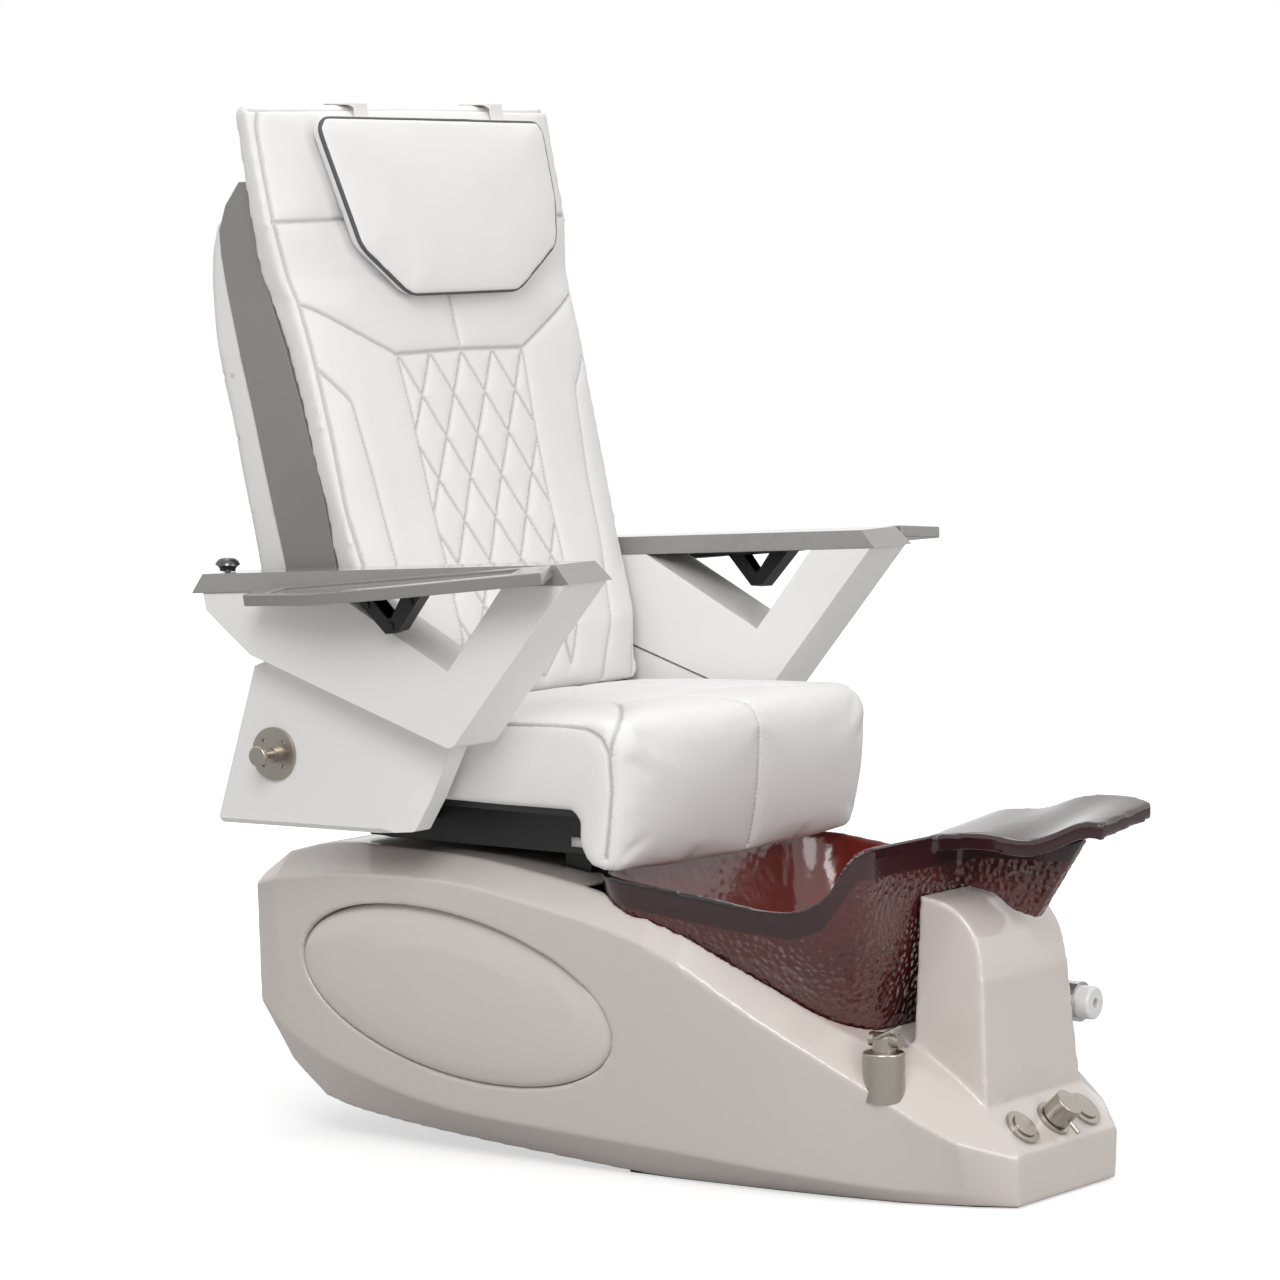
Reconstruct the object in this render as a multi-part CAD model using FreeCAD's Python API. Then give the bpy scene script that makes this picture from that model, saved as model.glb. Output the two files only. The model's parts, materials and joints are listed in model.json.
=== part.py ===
# Pedicure spa chair: massage seat on a slide, glass foot basin and moulded base.
# Millimetres. +X points to the foot end, +Y to the sitter's left, +Z up.
# The origin lies on the floor, on the mid plane, under the seat.
import FreeCAD
import Part
import math
import os

V = FreeCAD.Vector
os.makedirs("parts", exist_ok=True)

# Clearances shared by the whole chair
seat_gap = 0.3
slide_gap = 0.3
shaft_gap = 0.05
soft_gap = 0.3
cover_gap = 3.0

# Base shell
shell_wall = 6.0
pan_thickness = 8.0
pan_inset = 6.6
skirt_foot_z = 1.5
base_rear_x = -502.0
base_front_x = 592.0
column_top_z = 367.0
column_rear_x = 436.0
column_top_half = 97.0
column_foot_half = 118.0
station_spacing = 55.0
shelf_rear = (543.0, 116.0)
shelf_front = (592.0, 67.0)

# Oval side panels
oval_centre = (-156.0, 212.0)
oval_long = 245.0
oval_short = 104.0
oval_tilt = 9.0
oval_ledge_y = 238.0
oval_dome = [(1.0, 0.0), (1.0, 9.0), (0.985, 13.0), (0.94, 17.0), (0.8, 21.5), (0.55, 25.0), (0.25, 27.0)]
oval_ledge_width = 26.0
oval_gap = 0.5

# Foot basin with its wavy tread
basin_wall = 8.0
basin_floor_z = 118.0
basin_half = 262.0
basin_rear_x = 42.0
basin_front_x = 440.0
basin_rear_rim_z = 388.0
basin_low_rim = (352.0, 360.0)
basin_front_rim_z = 441.0
tread_half = 70.0
tread_tip_x = 673.0
tread_thickness = 21.0
fin_thickness = 18.0
drain_x = 262.0

# Floor plate, posts and slide
post_size = 40.0
front_post_x = -22.0
front_post_y = 150.0
rear_post_x = -210.0
rear_post_half = 60.0
rail_y = 150.0
deck_plate_z = 396.0
deck_plate_thickness = 6.0
deck_plate_half = 190.0
rail_half_width = 15.0
rail_height = 16.0
rail_x = (-335.0, 22.0)
runner_wall = 7.0

# Seat carriage
chassis_x = (-345.0, 52.0)
chassis_half = 215.0
chassis_height = 29.0
skirt_thickness = 5.0
frame_thickness = 8.0
seat_half = 286.0
seat_rear_x = -236.0
seat_front_x = 127.0
seat_rear_top_z = 562.0
seat_front_top_z = 577.0
seat_lip_z = 392.0
seat_crown = 12.0

# Side covers, arms and trays
cover_inner_y = 300.0
cover_outer_y = 345.0
upright_y = 291.0
upright_thickness = 6.0
arm_inner_y = 300.0
arm_outer_y = 390.0
arm_slope = 3.8
arm_pivot = (-408.0, 688.0)
arm_pivot_radius = 10.0
arm_top_thickness = 24.0
arm_top_front = (98.0, 776.0)
arm_top_length = 546.0
tray_thickness = 15.0
tray_width = 82.0
tray_slope = 6.3
tray_droop = 7.0
knob_radius = 16.0

# Backrest
recline_pivot = (-300.0, 500.0)
recline_radius = 9.0
back_bottom_z = 563.0
back_top_z = 1330.0
pad_crown = 22.0
massage_lean = 14.4


def box(x0, x1, y0, y1, z0, z1):
    return Part.makeBox(x1 - x0, y1 - y0, z1 - z0, V(x0, y0, z0))


def rod(start, end, radius):
    """Solid cylinder between two points."""
    axis = V(*end) - V(*start)
    return Part.makeCylinder(radius, axis.Length, V(*start), axis)


def ring(start, end, outer, inner):
    return rod(start, end, outer).cut(rod(start, end, inner))


def wire_of(points):
    return Part.makePolygon([V(*p) for p in points] + [V(*points[0])])


def prism_xz(points, y0, y1):
    """Side outline in X and Z, carried from y0 to y1."""
    face = Part.Face(wire_of([(x, y0, z) for x, z in points]))
    return face.extrude(V(0, y1 - y0, 0))


def prism_xy(points, z0, z1):
    face = Part.Face(wire_of([(x, y, z0) for x, y in points]))
    return face.extrude(V(0, 0, z1 - z0))


def prism_yz(points, x0, x1):
    face = Part.Face(wire_of([(x0, y, z) for y, z in points]))
    return face.extrude(V(x1 - x0, 0, 0))


def mirrored(shape):
    """The same piece on the other side of the mid plane."""
    return shape.mirror(V(0, 0, 0), V(0, 1, 0))


def soften(shape, radius, choose):
    """Round the edges that choose() picks."""
    edges = [e for e in shape.Edges if choose(e)]
    return shape.makeFillet(radius, edges)


def along(axis, tolerance=0.01):
    """Test for straight edges that run along one axis."""
    def test(edge):
        if len(edge.Vertexes) != 2:
            return False
        d = edge.Vertexes[1].Point - edge.Vertexes[0].Point
        return d.Length > tolerance and abs(abs(d.normalize().dot(axis)) - 1) < tolerance
    return test


def curve(points):
    spline = Part.BSplineCurve()
    spline.interpolate([V(*p) for p in points])
    return spline.toShape()


def line(a, b):
    return Part.LineSegment(V(*a), V(*b)).toShape()


def arc(a, middle, b):
    return Part.Arc(V(*a), V(*middle), V(*b)).toShape()


def save(name, shape):
    shape.exportStep("parts/" + name + ".step")
    print(name, len(shape.Solids), round(shape.Volume / 1e3, 1), shape.isValid())


# Base shell: the hull's half section changes along X. Each station holds its
# floor edge, skirt line, shoulder ridge and deck edge as (half width, height).
hull_stations = [
    (base_rear_x, (150, 176), (152, 182), (152, 322), (142, 332)),
    (-488, (220, 166), (225, 174), (233, 326), (215, 338)),
    (-442, (215, 95), (236, 142), (252, 338), (220, 370)),
    (-393, (210, 53), (242, 120), (261, 345), (224, 383)),
    (-330, (207, 38), (245, 98), (268, 355), (230, 391)),
    (-170, (203, 21), (245, 63), (272, 359), (237, 389)),
    (-20, (199, 10), (243, 53), (272, 339), (244, 374)),
    (142, (197, skirt_foot_z), (239, 45), (272, 304), (247, 341)),
    (294, (189, skirt_foot_z), (227, 33), (258, 226), (218, 262)),
    (373, (181, skirt_foot_z), (213, 27), (240, 183), (196, 214)),
    (453, (170, skirt_foot_z), (190, 20), (215, 136), (160, 176)),
    (540, (142, skirt_foot_z), (152, 16), (180, 84), (114, 118)),
    (base_front_x, (117, skirt_foot_z), (119, 14), (121, 62), (112, 67)),
]


def end_slope(xs, values, index):
    """Slope of a smooth line at one station, level where it turns."""
    before = (values[index] - values[index - 1]) / (xs[index] - xs[index - 1]) if index > 0 else None
    last = index == len(xs) - 1
    after = None if last else (values[index + 1] - values[index]) / (xs[index + 1] - xs[index])
    if before is None:
        return after
    if after is None:
        return before
    if before * after <= 0:
        return 0.0
    return 2 * before * after / (before + after)


def faired(stations, longest):
    """The measured stations with more between them, on a smooth line."""
    xs = [station[0] for station in stations]
    rows = [[value for pair in station[1:] for value in pair] for station in stations]
    columns = list(zip(*rows))
    slopes = [[end_slope(xs, values, index) for values in columns] for index in range(len(xs))]
    result = []
    for index in range(len(xs) - 1):
        span = xs[index + 1] - xs[index]
        steps = max(1, math.ceil(span / longest))
        for step in range(steps):
            t = step / steps
            weights = (2 * t**3 - 3 * t**2 + 1, t**3 - 2 * t**2 + t, -2 * t**3 + 3 * t**2, t**3 - t**2)
            values = []
            for k in range(len(columns)):
                parts = (rows[index][k], slopes[index][k] * span, rows[index + 1][k], slopes[index + 1][k] * span)
                values.append(sum(w * v for w, v in zip(weights, parts)))
            pairs = tuple(zip(values[0::2], values[1::2]))
            result.append((xs[index] + span * t,) + pairs)
    result.append(stations[-1])
    return result


def hull_wire(station, inset):
    x, foot, skirt, ridge, deck = station
    half = [(foot[0] - inset, foot[1])]
    half.append((skirt[0] - inset, skirt[1]))
    half.append((ridge[0] - inset, ridge[1] - inset * 0.3))
    half.append((deck[0] - inset * 0.6, deck[1] - inset))
    left = [(x, y, z) for y, z in half]
    right = [(x, -y, z) for y, z in reversed(half)]
    return wire_of(left + right)


def hull(inset):
    wires = []
    for station in faired(hull_stations, station_spacing):
        x = station[0]
        if x == base_rear_x:
            x = x + inset
        if x == base_front_x:
            x = x - inset
        wires.append(hull_wire((x,) + station[1:], inset))
    return Part.makeLoft(wires, True, True)


def column_profile(inset, bottom):
    """Side outline of the front column, arched over its top."""
    rear_x, top_z = column_rear_x, column_top_z
    front = base_front_x - inset
    shoulder = (520.0 - inset, 318.0)
    waist = (532.0 - inset, 246.0)
    top = (462.0, top_z - 4 - inset)
    edges = [
        line((rear_x, 0, bottom), (rear_x, 0, top_z - inset)),
        line((rear_x, 0, top_z - inset), (top[0], 0, top[1])),
        arc((top[0], 0, top[1]), (500 - inset * 0.7, 0, 344 - inset * 0.7), (shoulder[0], 0, shoulder[1])),
        arc((shoulder[0], 0, shoulder[1]), (528 - inset, 0, 284), (waist[0], 0, waist[1])),
        line((waist[0], 0, waist[1]), (shelf_rear[0] - inset, 0, shelf_rear[1])),
        line((shelf_rear[0] - inset, 0, shelf_rear[1]), (front, 0, shelf_front[1] - inset * 0.4)),
        line((front, 0, shelf_front[1] - inset * 0.4), (front, 0, bottom)),
        line((front, 0, bottom), (rear_x, 0, bottom)),
    ]
    return Part.Wire(edges)


def column(inset):
    """Front column: widens from its top to its foot."""
    bottom = skirt_foot_z
    profile = column_profile(inset, bottom)
    body = Part.Face(profile).extrude(V(0, column_foot_half * 2 + 4, 0))
    body.translate(V(0, -column_foot_half - 2, 0))
    top_half = column_top_half - inset
    foot_half = column_foot_half - inset
    sides = prism_yz([(-foot_half, bottom), (foot_half, bottom), (foot_half, shelf_front[1]),
                      (top_half, column_top_z), (-top_half, column_top_z), (-foot_half, shelf_front[1])],
                     column_rear_x - 1, base_front_x + 1)
    return body.common(sides)


def ellipse_prism(long_radius, short_radius, y0, y1):
    centre = V(oval_centre[0], y0, oval_centre[1])
    ellipse = Part.Ellipse(V(0, 0, 0), long_radius, short_radius)
    edge = ellipse.toShape()
    edge.rotate(V(0, 0, 0), V(0, 0, 1), -oval_tilt)
    edge.rotate(V(0, 0, 0), V(1, 0, 0), 90)
    edge.translate(centre)
    return Part.Face(Part.Wire([edge])).extrude(V(0, y1 - y0, 0))


# Basin: rounded outlines stacked from its floor to its rim.
basin_levels = [
    (basin_floor_z, 168.0, 366.0, 132.0, 70.0),
    (205.0, 112.0, 398.0, 182.0, 76.0),
    (300.0, 66.0, 423.0, 238.0, 70.0),
    (basin_front_rim_z, basin_rear_x, basin_front_x, basin_half, 58.0),
]


def rounded_outline(x0, x1, half, radius, z):
    """Rounded rectangle at height z."""
    c = radius * (1 - math.sqrt(0.5))
    edges = [
        line((x0 + radius, -half, z), (x1 - radius, -half, z)),
        arc((x1 - radius, -half, z), (x1 - c, -half + c, z), (x1, -half + radius, z)),
        line((x1, -half + radius, z), (x1, half - radius, z)),
        arc((x1, half - radius, z), (x1 - c, half - c, z), (x1 - radius, half, z)),
        line((x1 - radius, half, z), (x0 + radius, half, z)),
        arc((x0 + radius, half, z), (x0 + c, half - c, z), (x0, half - radius, z)),
        line((x0, half - radius, z), (x0, -half + radius, z)),
        arc((x0, -half + radius, z), (x0 + c, -half + c, z), (x0 + radius, -half, z)),
    ]
    return Part.Wire(edges)


def bowl(inset):
    """Bowl body: inset 0 is its outside, the wall its inside."""
    wires = []
    for index, (z, x0, x1, half, radius) in enumerate(basin_levels):
        if index == 0:
            z = z + inset
        wires.append(rounded_outline(x0 + inset, x1 - inset, half - inset, radius - inset * 0.5, z))
    return Part.makeLoft(wires, True, False)


def above_rim():
    """Space above the rim, which dips beside the seat and rises at the front."""
    high = basin_front_rim_z + 40
    low_x, low_z = basin_low_rim
    edges = [
        line((basin_rear_x - 20, 0, high), (basin_rear_x - 20, 0, basin_rear_rim_z)),
        curve([(basin_rear_x - 20, 0, basin_rear_rim_z), (150, 0, 376), (low_x - 90, 0, low_z + 4),
               (low_x, 0, low_z), (392, 0, 376), (412, 0, 401), (basin_front_x - 9, 0, basin_front_rim_z - 6),
               (basin_front_x + 20, 0, basin_front_rim_z + 2)]),
        line((basin_front_x + 20, 0, basin_front_rim_z + 2), (basin_front_x + 20, 0, high)),
        line((basin_front_x + 20, 0, high), (basin_rear_x - 20, 0, high)),
    ]
    face = Part.Face(Part.Wire(edges))
    space = face.extrude(V(0, basin_half * 2 + 40, 0))
    space.translate(V(0, -basin_half - 20, 0))
    return space


def tread_section(y, tops):
    """One side outline of the tread, through the heights of its waves."""
    top_points = [(x, y, z) for x, z in tops]
    low_points = [(x, y, z - tread_thickness) for x, z in tops]
    edges = [
        curve(top_points),
        line(top_points[-1], low_points[-1]),
        curve(list(reversed(low_points))),
        line(low_points[0], top_points[0]),
    ]
    return Part.Wire(edges)


def make_tread():
    tip = tread_tip_x
    near = [(426, 438), (470, 443), (515, 446), (560, 441), (607, 453), (tip - 20, 471), (tip, 470)]
    far = [(426, 446), (470, 461), (515, 465), (560, 481), (607, 488), (tip - 26, 486), (tip - 8, 481)]
    wires = [tread_section(-tread_half, near), tread_section(tread_half, far)]
    return Part.makeLoft(wires, True, True)


def make_basin():
    outside = bowl(0)
    inside = bowl(basin_wall)
    shell = outside.cut(inside).cut(above_rim())
    fin = prism_xz([(428, 374), (488, 364), (514, 346), (548, 338), (613, 440), (428, 436)],
                   -fin_thickness / 2, fin_thickness / 2)
    fin = fin.cut(bowl(0))
    body = shell.fuse(make_tread().cut(inside)).fuse(fin)
    drain_hole = rod((drain_x, 0, basin_floor_z - 5), (drain_x, 0, basin_floor_z + 30), 23 + shaft_gap)
    jet_hole = rod((basin_rear_x, 0, jet_z), (basin_rear_x + 140, 0, jet_z), jet_shaft_radius + 2)
    return body.cut(drain_hole).cut(jet_hole).removeSplitter()


# Whirlpool jet behind the rear wall of the bowl
jet_z = 215.0
jet_shaft_radius = 5.0
jet_hub_radius = 9.0
jet_cover_radius = 46.0


def jet_wall_x():
    """Where the inside of the rear wall lies at the jet's height."""
    low, high = basin_levels[1], basin_levels[2]
    share = (jet_z - low[0]) / (high[0] - low[0])
    return low[1] + (high[1] - low[1]) * share + basin_wall


def make_base_shell():
    outside = hull(0).fuse(column(0))
    inside = hull(shell_wall).fuse(column(shell_wall))
    floor_cut = box(base_rear_x - 5, base_front_x + 5, -300, 300, -20, skirt_foot_z + 0.01)
    shell = outside.cut(inside)
    shell = shell.cut(floor_space())
    dish = ellipse_prism(oval_long + shell_wall, oval_short + shell_wall, -300, -oval_ledge_y + shell_wall)
    dish = dish.fuse(mirrored(dish)).common(hull(1.0))
    shell = shell.fuse(dish)
    recess = ellipse_prism(oval_long + oval_gap, oval_short + oval_gap, -300, -oval_ledge_y)
    opening = ellipse_prism(oval_long - oval_ledge_width, oval_short - oval_ledge_width, -300, -200)
    shell = shell.cut(recess).cut(opening).cut(mirrored(recess)).cut(mirrored(opening))
    shell = shell.cut(bowl(-seat_gap)).cut(box(basin_rear_x - 6, column_rear_x, -236, 236, 330, 460))
    shell = shell.cut(floor_cut)
    for x, y, reach_x, reach_y in post_places:
        shell = shell.cut(box(x - reach_x - 1, x + reach_x + 1, y - reach_y - 1, y + reach_y + 1, 300, 420))
    for cutter in front_control_cutters() + rear_cutters() + [faucet_cutter(), sprayer_cutter()]:
        shell = shell.cut(cutter)
    return shell


# Centre and half widths of the posts that carry the seat
post_places = [
    (front_post_x, -front_post_y, post_size / 2, post_size / 2),
    (front_post_x, front_post_y, post_size / 2, post_size / 2),
    (rear_post_x, 0.0, post_size / 2, rear_post_half),
]


# Front controls on the sloping shelf
shelf_normal = V(1, 0, 1).normalize()
control_pitch = 75.0
button_radius = 19.0
button_travel = 3.0
button_cap_height = 3.4
well_floor = 0.8
well_clearance = 0.4
bezel_radius = 24.0
bezel_height = 5.0
knob_control_radius = 19.0
knob_control_height = 30.0


def shelf_centre(y):
    x = (shelf_rear[0] + shelf_front[0]) / 2 + 1.5
    z = (shelf_rear[1] + shelf_front[1]) / 2 - 1.5
    return V(x, y, z)


def shelf_cylinder(y, radius, start, length):
    """Cylinder square to the shelf, start counted from its surface."""
    return Part.makeCylinder(radius, length, shelf_centre(y) + shelf_normal * start, shelf_normal)


def front_control_cutters():
    hole = 12.0
    return [shelf_cylinder(y, hole + shaft_gap, -30, 40) for y in (-control_pitch, 0, control_pitch)]


def make_button(y):
    """Cap that still clears the floor of its well when fully pressed."""
    start = well_floor + button_travel + well_clearance
    cap = shelf_cylinder(y, button_radius - 3, start, button_cap_height)
    stem = shelf_cylinder(y, 8, -22, 23 + start)
    return cap.fuse(stem).removeSplitter()


def make_button_bezel(y):
    body = shelf_cylinder(y, bezel_radius, seat_gap, bezel_height - seat_gap)
    neck = shelf_cylinder(y, 12, -18, 18 + seat_gap)
    well = shelf_cylinder(y, button_radius - 3 + slide_gap, well_floor, 20)
    bore = shelf_cylinder(y, 8 + shaft_gap, -30, 50)
    body = body.fuse(neck)
    return body.cut(bore).cut(well)


def make_knob():
    grip = shelf_cylinder(0, knob_control_radius, bezel_height + seat_gap, knob_control_height)
    grip = soften(grip, 2.0, lambda e: e.Closed)
    stem = shelf_cylinder(0, 5, -16, 16 + bezel_height + seat_gap)
    side = shelf_normal.cross(V(0, 1, 0)).normalize()
    centre = shelf_centre(0) + shelf_normal * (bezel_height + 12)
    pin = Part.makeCylinder(3.2, knob_control_radius + 16, centre, side * -1)
    return grip.fuse(stem).fuse(pin).removeSplitter()


def make_knob_bezel():
    body = shelf_cylinder(0, bezel_radius, seat_gap, bezel_height - seat_gap)
    neck = shelf_cylinder(0, 12, -18, 18 + seat_gap)
    return body.fuse(neck).cut(shelf_cylinder(0, 5 + shaft_gap, -30, 60))


# Mixer tap on the deck beside the column
faucet_x = 446.0
faucet_y = -194.0
faucet_base_z = 156.0
faucet_radius = 26.0
faucet_body_height = 34.0
faucet_shank = 5.0
faucet_seat_depth = 26.0
tower_radius = 14.0
tower_height = 20.0


def faucet_cutter():
    return rod((faucet_x, faucet_y, 118), (faucet_x, faucet_y, 230), faucet_shank + shaft_gap)


def make_faucet_body():
    """Round body seated on the sloping deck, its shank through the shell."""
    foot = faucet_base_z
    top = foot + faucet_body_height
    body = rod((faucet_x, faucet_y, foot - faucet_seat_depth), (faucet_x, faucet_y, top), faucet_radius)
    body = soften(body, 3.0, lambda e: e.Closed and e.BoundBox.ZMin > foot + 5)
    body = body.cut(hull(-seat_gap))
    shank = rod((faucet_x, faucet_y, foot - 34), (faucet_x, faucet_y, foot + 6), faucet_shank)
    return body.fuse(shank).removeSplitter()


def make_faucet_lever():
    base = faucet_base_z + faucet_body_height + seat_gap
    tower = rod((faucet_x, faucet_y, base), (faucet_x, faucet_y, base + tower_height), tower_radius)
    tower = soften(tower, 3.0, lambda e: e.Closed and e.BoundBox.ZMin > base + 5)
    hub_z = base + tower_height - 6
    hub = rod((faucet_x - 18, faucet_y, hub_z), (faucet_x + 24, faucet_y, hub_z), 9)
    first = rod((faucet_x + 6, faucet_y - 30, hub_z + 6), (faucet_x + 6, faucet_y + 26, hub_z + 12), 3)
    second = rod((faucet_x + 20, faucet_y - 14, hub_z + 14), (faucet_x + 20, faucet_y + 20, hub_z - 9), 3)
    return tower.fuse(hub).fuse(first).fuse(second).removeSplitter()


# Hand sprayer in its holder on the far side of the column
sprayer_centre = (520.0, 138.0, 214.0)
sprayer_radius = 21.0
sprayer_length = 62.0
holder_wall = 4.0


def column_side_y(z):
    share = (column_top_z - z) / (column_top_z - shelf_front[1])
    return column_top_half + (column_foot_half - column_top_half) * share


def sprayer_cutter():
    x, y, z = sprayer_centre
    return rod((x, 60, z), (x, 150, z), 6 + shaft_gap)


def make_sprayer_holder():
    x, y, z = sprayer_centre
    reach = sprayer_radius + slide_gap
    clip = ring((x - 14, y, z), (x + 10, y, z), reach + holder_wall, reach)
    side = column_side_y(z)
    neck = box(x - 14, x + 10, side + 2, y - reach - 1, z - 12, z + 12)
    plate = rod((x - 2, side - 12, z), (x - 2, side + 6, z), 15)
    stud = rod((x, side - 30, z), (x, side, z), 6)
    body = clip.fuse(neck).fuse(plate).fuse(stud)
    return body.cut(column(-seat_gap).cut(rod((x, 0, z), (x, 150, z), 6)))


def make_sprayer():
    x, y, z = sprayer_centre
    body = rod((x - 32, y, z), (x + sprayer_length - 32, y, z), sprayer_radius)
    body = soften(body, 4.0, lambda e: e.Closed)
    nozzle = rod((x + sprayer_length - 44, y, z), (x + sprayer_length, y, z), 6.0)
    hose_end = rod((x - 50, y, z), (x - 30, y, z), 11)
    return body.fuse(hose_end).cut(nozzle)


# Water and power connections on the rear of the base
rear_plate_half = 92.0
rear_plate_z = (198.0, 306.0)
outlet_radius = 16.0
inlet_radius = 10.5
stub_length = 26.0
stub_shoulder = 1.0
drain_outlet = (40.0, 232.0)
hot_inlet = (-12.0, 232.0)
cold_inlet = (-52.0, 232.0)
power_inlet = (20.0, 282.0)


def rear_cutters():
    low, high = rear_plate_z
    opening = box(base_rear_x - 5, base_rear_x + shell_wall + 6, -rear_plate_half + 10,
                  rear_plate_half - 10, low + 10, high - 10)
    return [opening]


def make_rear_plate():
    low, high = rear_plate_z
    x = base_rear_x - 0.3
    plate = box(x - 3, x, -rear_plate_half, rear_plate_half, low, high)
    plate = soften(plate, 8.0, along(V(1, 0, 0)))
    for (y, z), radius in ((drain_outlet, outlet_radius), (hot_inlet, inlet_radius), (cold_inlet, inlet_radius)):
        plate = plate.cut(rod((x - 10, y, z), (x + 10, y, z), radius - stub_shoulder + shaft_gap))
    y, z = power_inlet
    return plate.cut(box(x - 10, x + 10, y - 14.2, y + 14.2, z - 10.2, z + 10.2))


def make_stub(place, radius):
    """Threaded stub with its shoulder on the plate and a nut behind it."""
    y, z = place
    x = base_rear_x - 3.3
    shank = radius - stub_shoulder
    pipe = rod((x - stub_length, y, z), (x, y, z), radius)
    pipe = pipe.fuse(rod((x, y, z), (x + 45, y, z), shank)).fuse(rod((x + 3.3, y, z), (x + 12, y, z), radius + 4))
    bore = rod((x - stub_length - 1, y, z), (x + 46, y, z), radius - 2.5)
    return pipe.cut(bore).removeSplitter()


def make_power_inlet():
    y, z = power_inlet
    x = base_rear_x - 3.3
    body = box(x - 2, x + 28, y - 14, y + 14, z - 10, z + 10)
    rim = box(x - 3, x, y - 17, y + 17, z - 13, z + 13)
    well = box(x - 4, x + 16, y - 11.5, y + 11.5, z - 7.5, z + 7.5)
    pins = [box(x + 4, x + 17, y + dy - 1, y + dy + 1, z - 3, z + 3) for dy in (-7, 0, 7)]
    body = body.fuse(rim).cut(well)
    for pin in pins:
        body = body.fuse(pin)
    return body.removeSplitter()


def floor_outline(inset):
    """Inside of the shell's foot in front, a narrow tongue behind."""
    tongue = rear_post_half + 4 + pan_inset - inset
    rear = rear_post_x - 26 - pan_inset + inset
    wide = [(line[0], line[1][0] - inset) for line in hull_stations if 100 < line[0] < base_front_x]
    front = base_front_x - inset
    rim = [(rear, tongue), (48 - pan_inset + inset, tongue), (70, 196 - inset)] + wide + [(front, 117 - inset)]
    return [(x, -y) for x, y in rim] + [(x, y) for x, y in reversed(rim)]


def floor_space():
    """Room that the shell leaves for the floor pan."""
    return prism_xy(floor_outline(pan_inset - 0.4), -5, pan_thickness + 1)


# Floor pan, posts, deck plate and slide
def make_floor_pan():
    """Plate on the floor: as wide as the shell's inside in front, narrow behind."""
    return prism_xy(floor_outline(pan_inset), 0, pan_thickness)


def make_seat_stand():
    """Square tubes that carry the plate under the seat's slide."""
    h = deck_plate_half
    top = deck_plate_z + deck_plate_thickness
    plate = box(rail_x[0] - 5, rail_x[1] + 8, -h, h, deck_plate_z, top)
    solids = [soften(plate, 10.0, along(V(0, 0, 1)))]
    wall = 3.0
    y = drain_outlet[0]
    pipe_hole = rod((rear_post_x - 30, y, discharge_z), (rear_post_x + 30, y, discharge_z), discharge_radius + 1)
    for x, y, rx, ry in post_places:
        post = box(x - rx, x + rx, y - ry, y + ry, pan_thickness, deck_plate_z)
        bore = box(x - rx + wall, x + rx - wall, y - ry + wall, y + ry - wall, pan_thickness + 6, deck_plate_z - 6)
        solids.append(post.cut(bore).cut(pipe_hole))
    return Part.makeCompound(solids)


rail_z = deck_plate_z + deck_plate_thickness
runner_top_z = rail_z + rail_height + slide_gap + runner_wall


def make_rail(side):
    y = side * rail_y
    h = rail_half_width
    bar = box(rail_x[0], rail_x[1], y - h, y + h, rail_z, rail_z + rail_height)
    return soften(bar, 2.0, lambda e: along(V(1, 0, 0))(e) and e.BoundBox.ZMin > rail_z + 5)


def make_runner(side):
    y = side * rail_y
    outer = rail_half_width + slide_gap + runner_wall
    inner = rail_half_width + slide_gap
    block = box(rail_x[0], rail_x[1], y - outer, y + outer, rail_z + 3, runner_top_z)
    groove = box(rail_x[0] - 1, rail_x[1] + 1, y - inner, y + inner, rail_z, runner_top_z - runner_wall)
    return block.cut(groove)


# Slide actuator between the rails
slide_motor_x = -150.0
slide_rod_z = rail_z + 12.0


def make_slide_actuator():
    tube = rod((slide_motor_x, 0, slide_rod_z), (slide_motor_x + 130, 0, slide_rod_z), 10)
    bore = rod((slide_motor_x + 2, 0, slide_rod_z), (slide_motor_x + 131, 0, slide_rod_z), 6 + shaft_gap)
    motor = box(slide_motor_x - 60, slide_motor_x, -20, 20, rail_z, slide_rod_z + 10)
    foot = box(slide_motor_x + 90, slide_motor_x + 120, -18, 18, rail_z, slide_rod_z - 4)
    return tube.cut(bore).fuse(motor).fuse(foot.cut(bore)).removeSplitter()


def make_slide_rod():
    start = slide_motor_x + 6
    end = slide_motor_x + 162
    bar = rod((start, 0, slide_rod_z), (end, 0, slide_rod_z), 6)
    lug = box(end - 2, end + 10, -9, 9, slide_rod_z - 8, runner_top_z)
    return bar.fuse(lug).removeSplitter()


# Seat carriage
chassis_top_z = runner_top_z + chassis_height
frame_top_z = chassis_top_z + frame_thickness


def make_chassis():
    """Closed box under the seat, with an apron down each side of the slide."""
    h = chassis_half
    rear, front = chassis_x
    body = box(rear, front, -h, h, runner_top_z, chassis_top_z)
    body = soften(body, 3.0, along(V(0, 0, 1)))
    low = deck_plate_z + 3
    apron = [(rear + 6, low + 6), (rear + 60, low), (front - 24, low), (front - 4, low + 12),
             (front - 4, runner_top_z + 2), (rear + 6, runner_top_z + 2)]
    for y in (-h, h - skirt_thickness):
        body = body.fuse(prism_xz(apron, y, y + skirt_thickness))
    return body.removeSplitter()


def make_seat_frame():
    half = seat_half - 16
    return box(seat_rear_x + 4, chassis_x[1] - 2, -half, half, chassis_top_z, frame_top_z)


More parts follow.
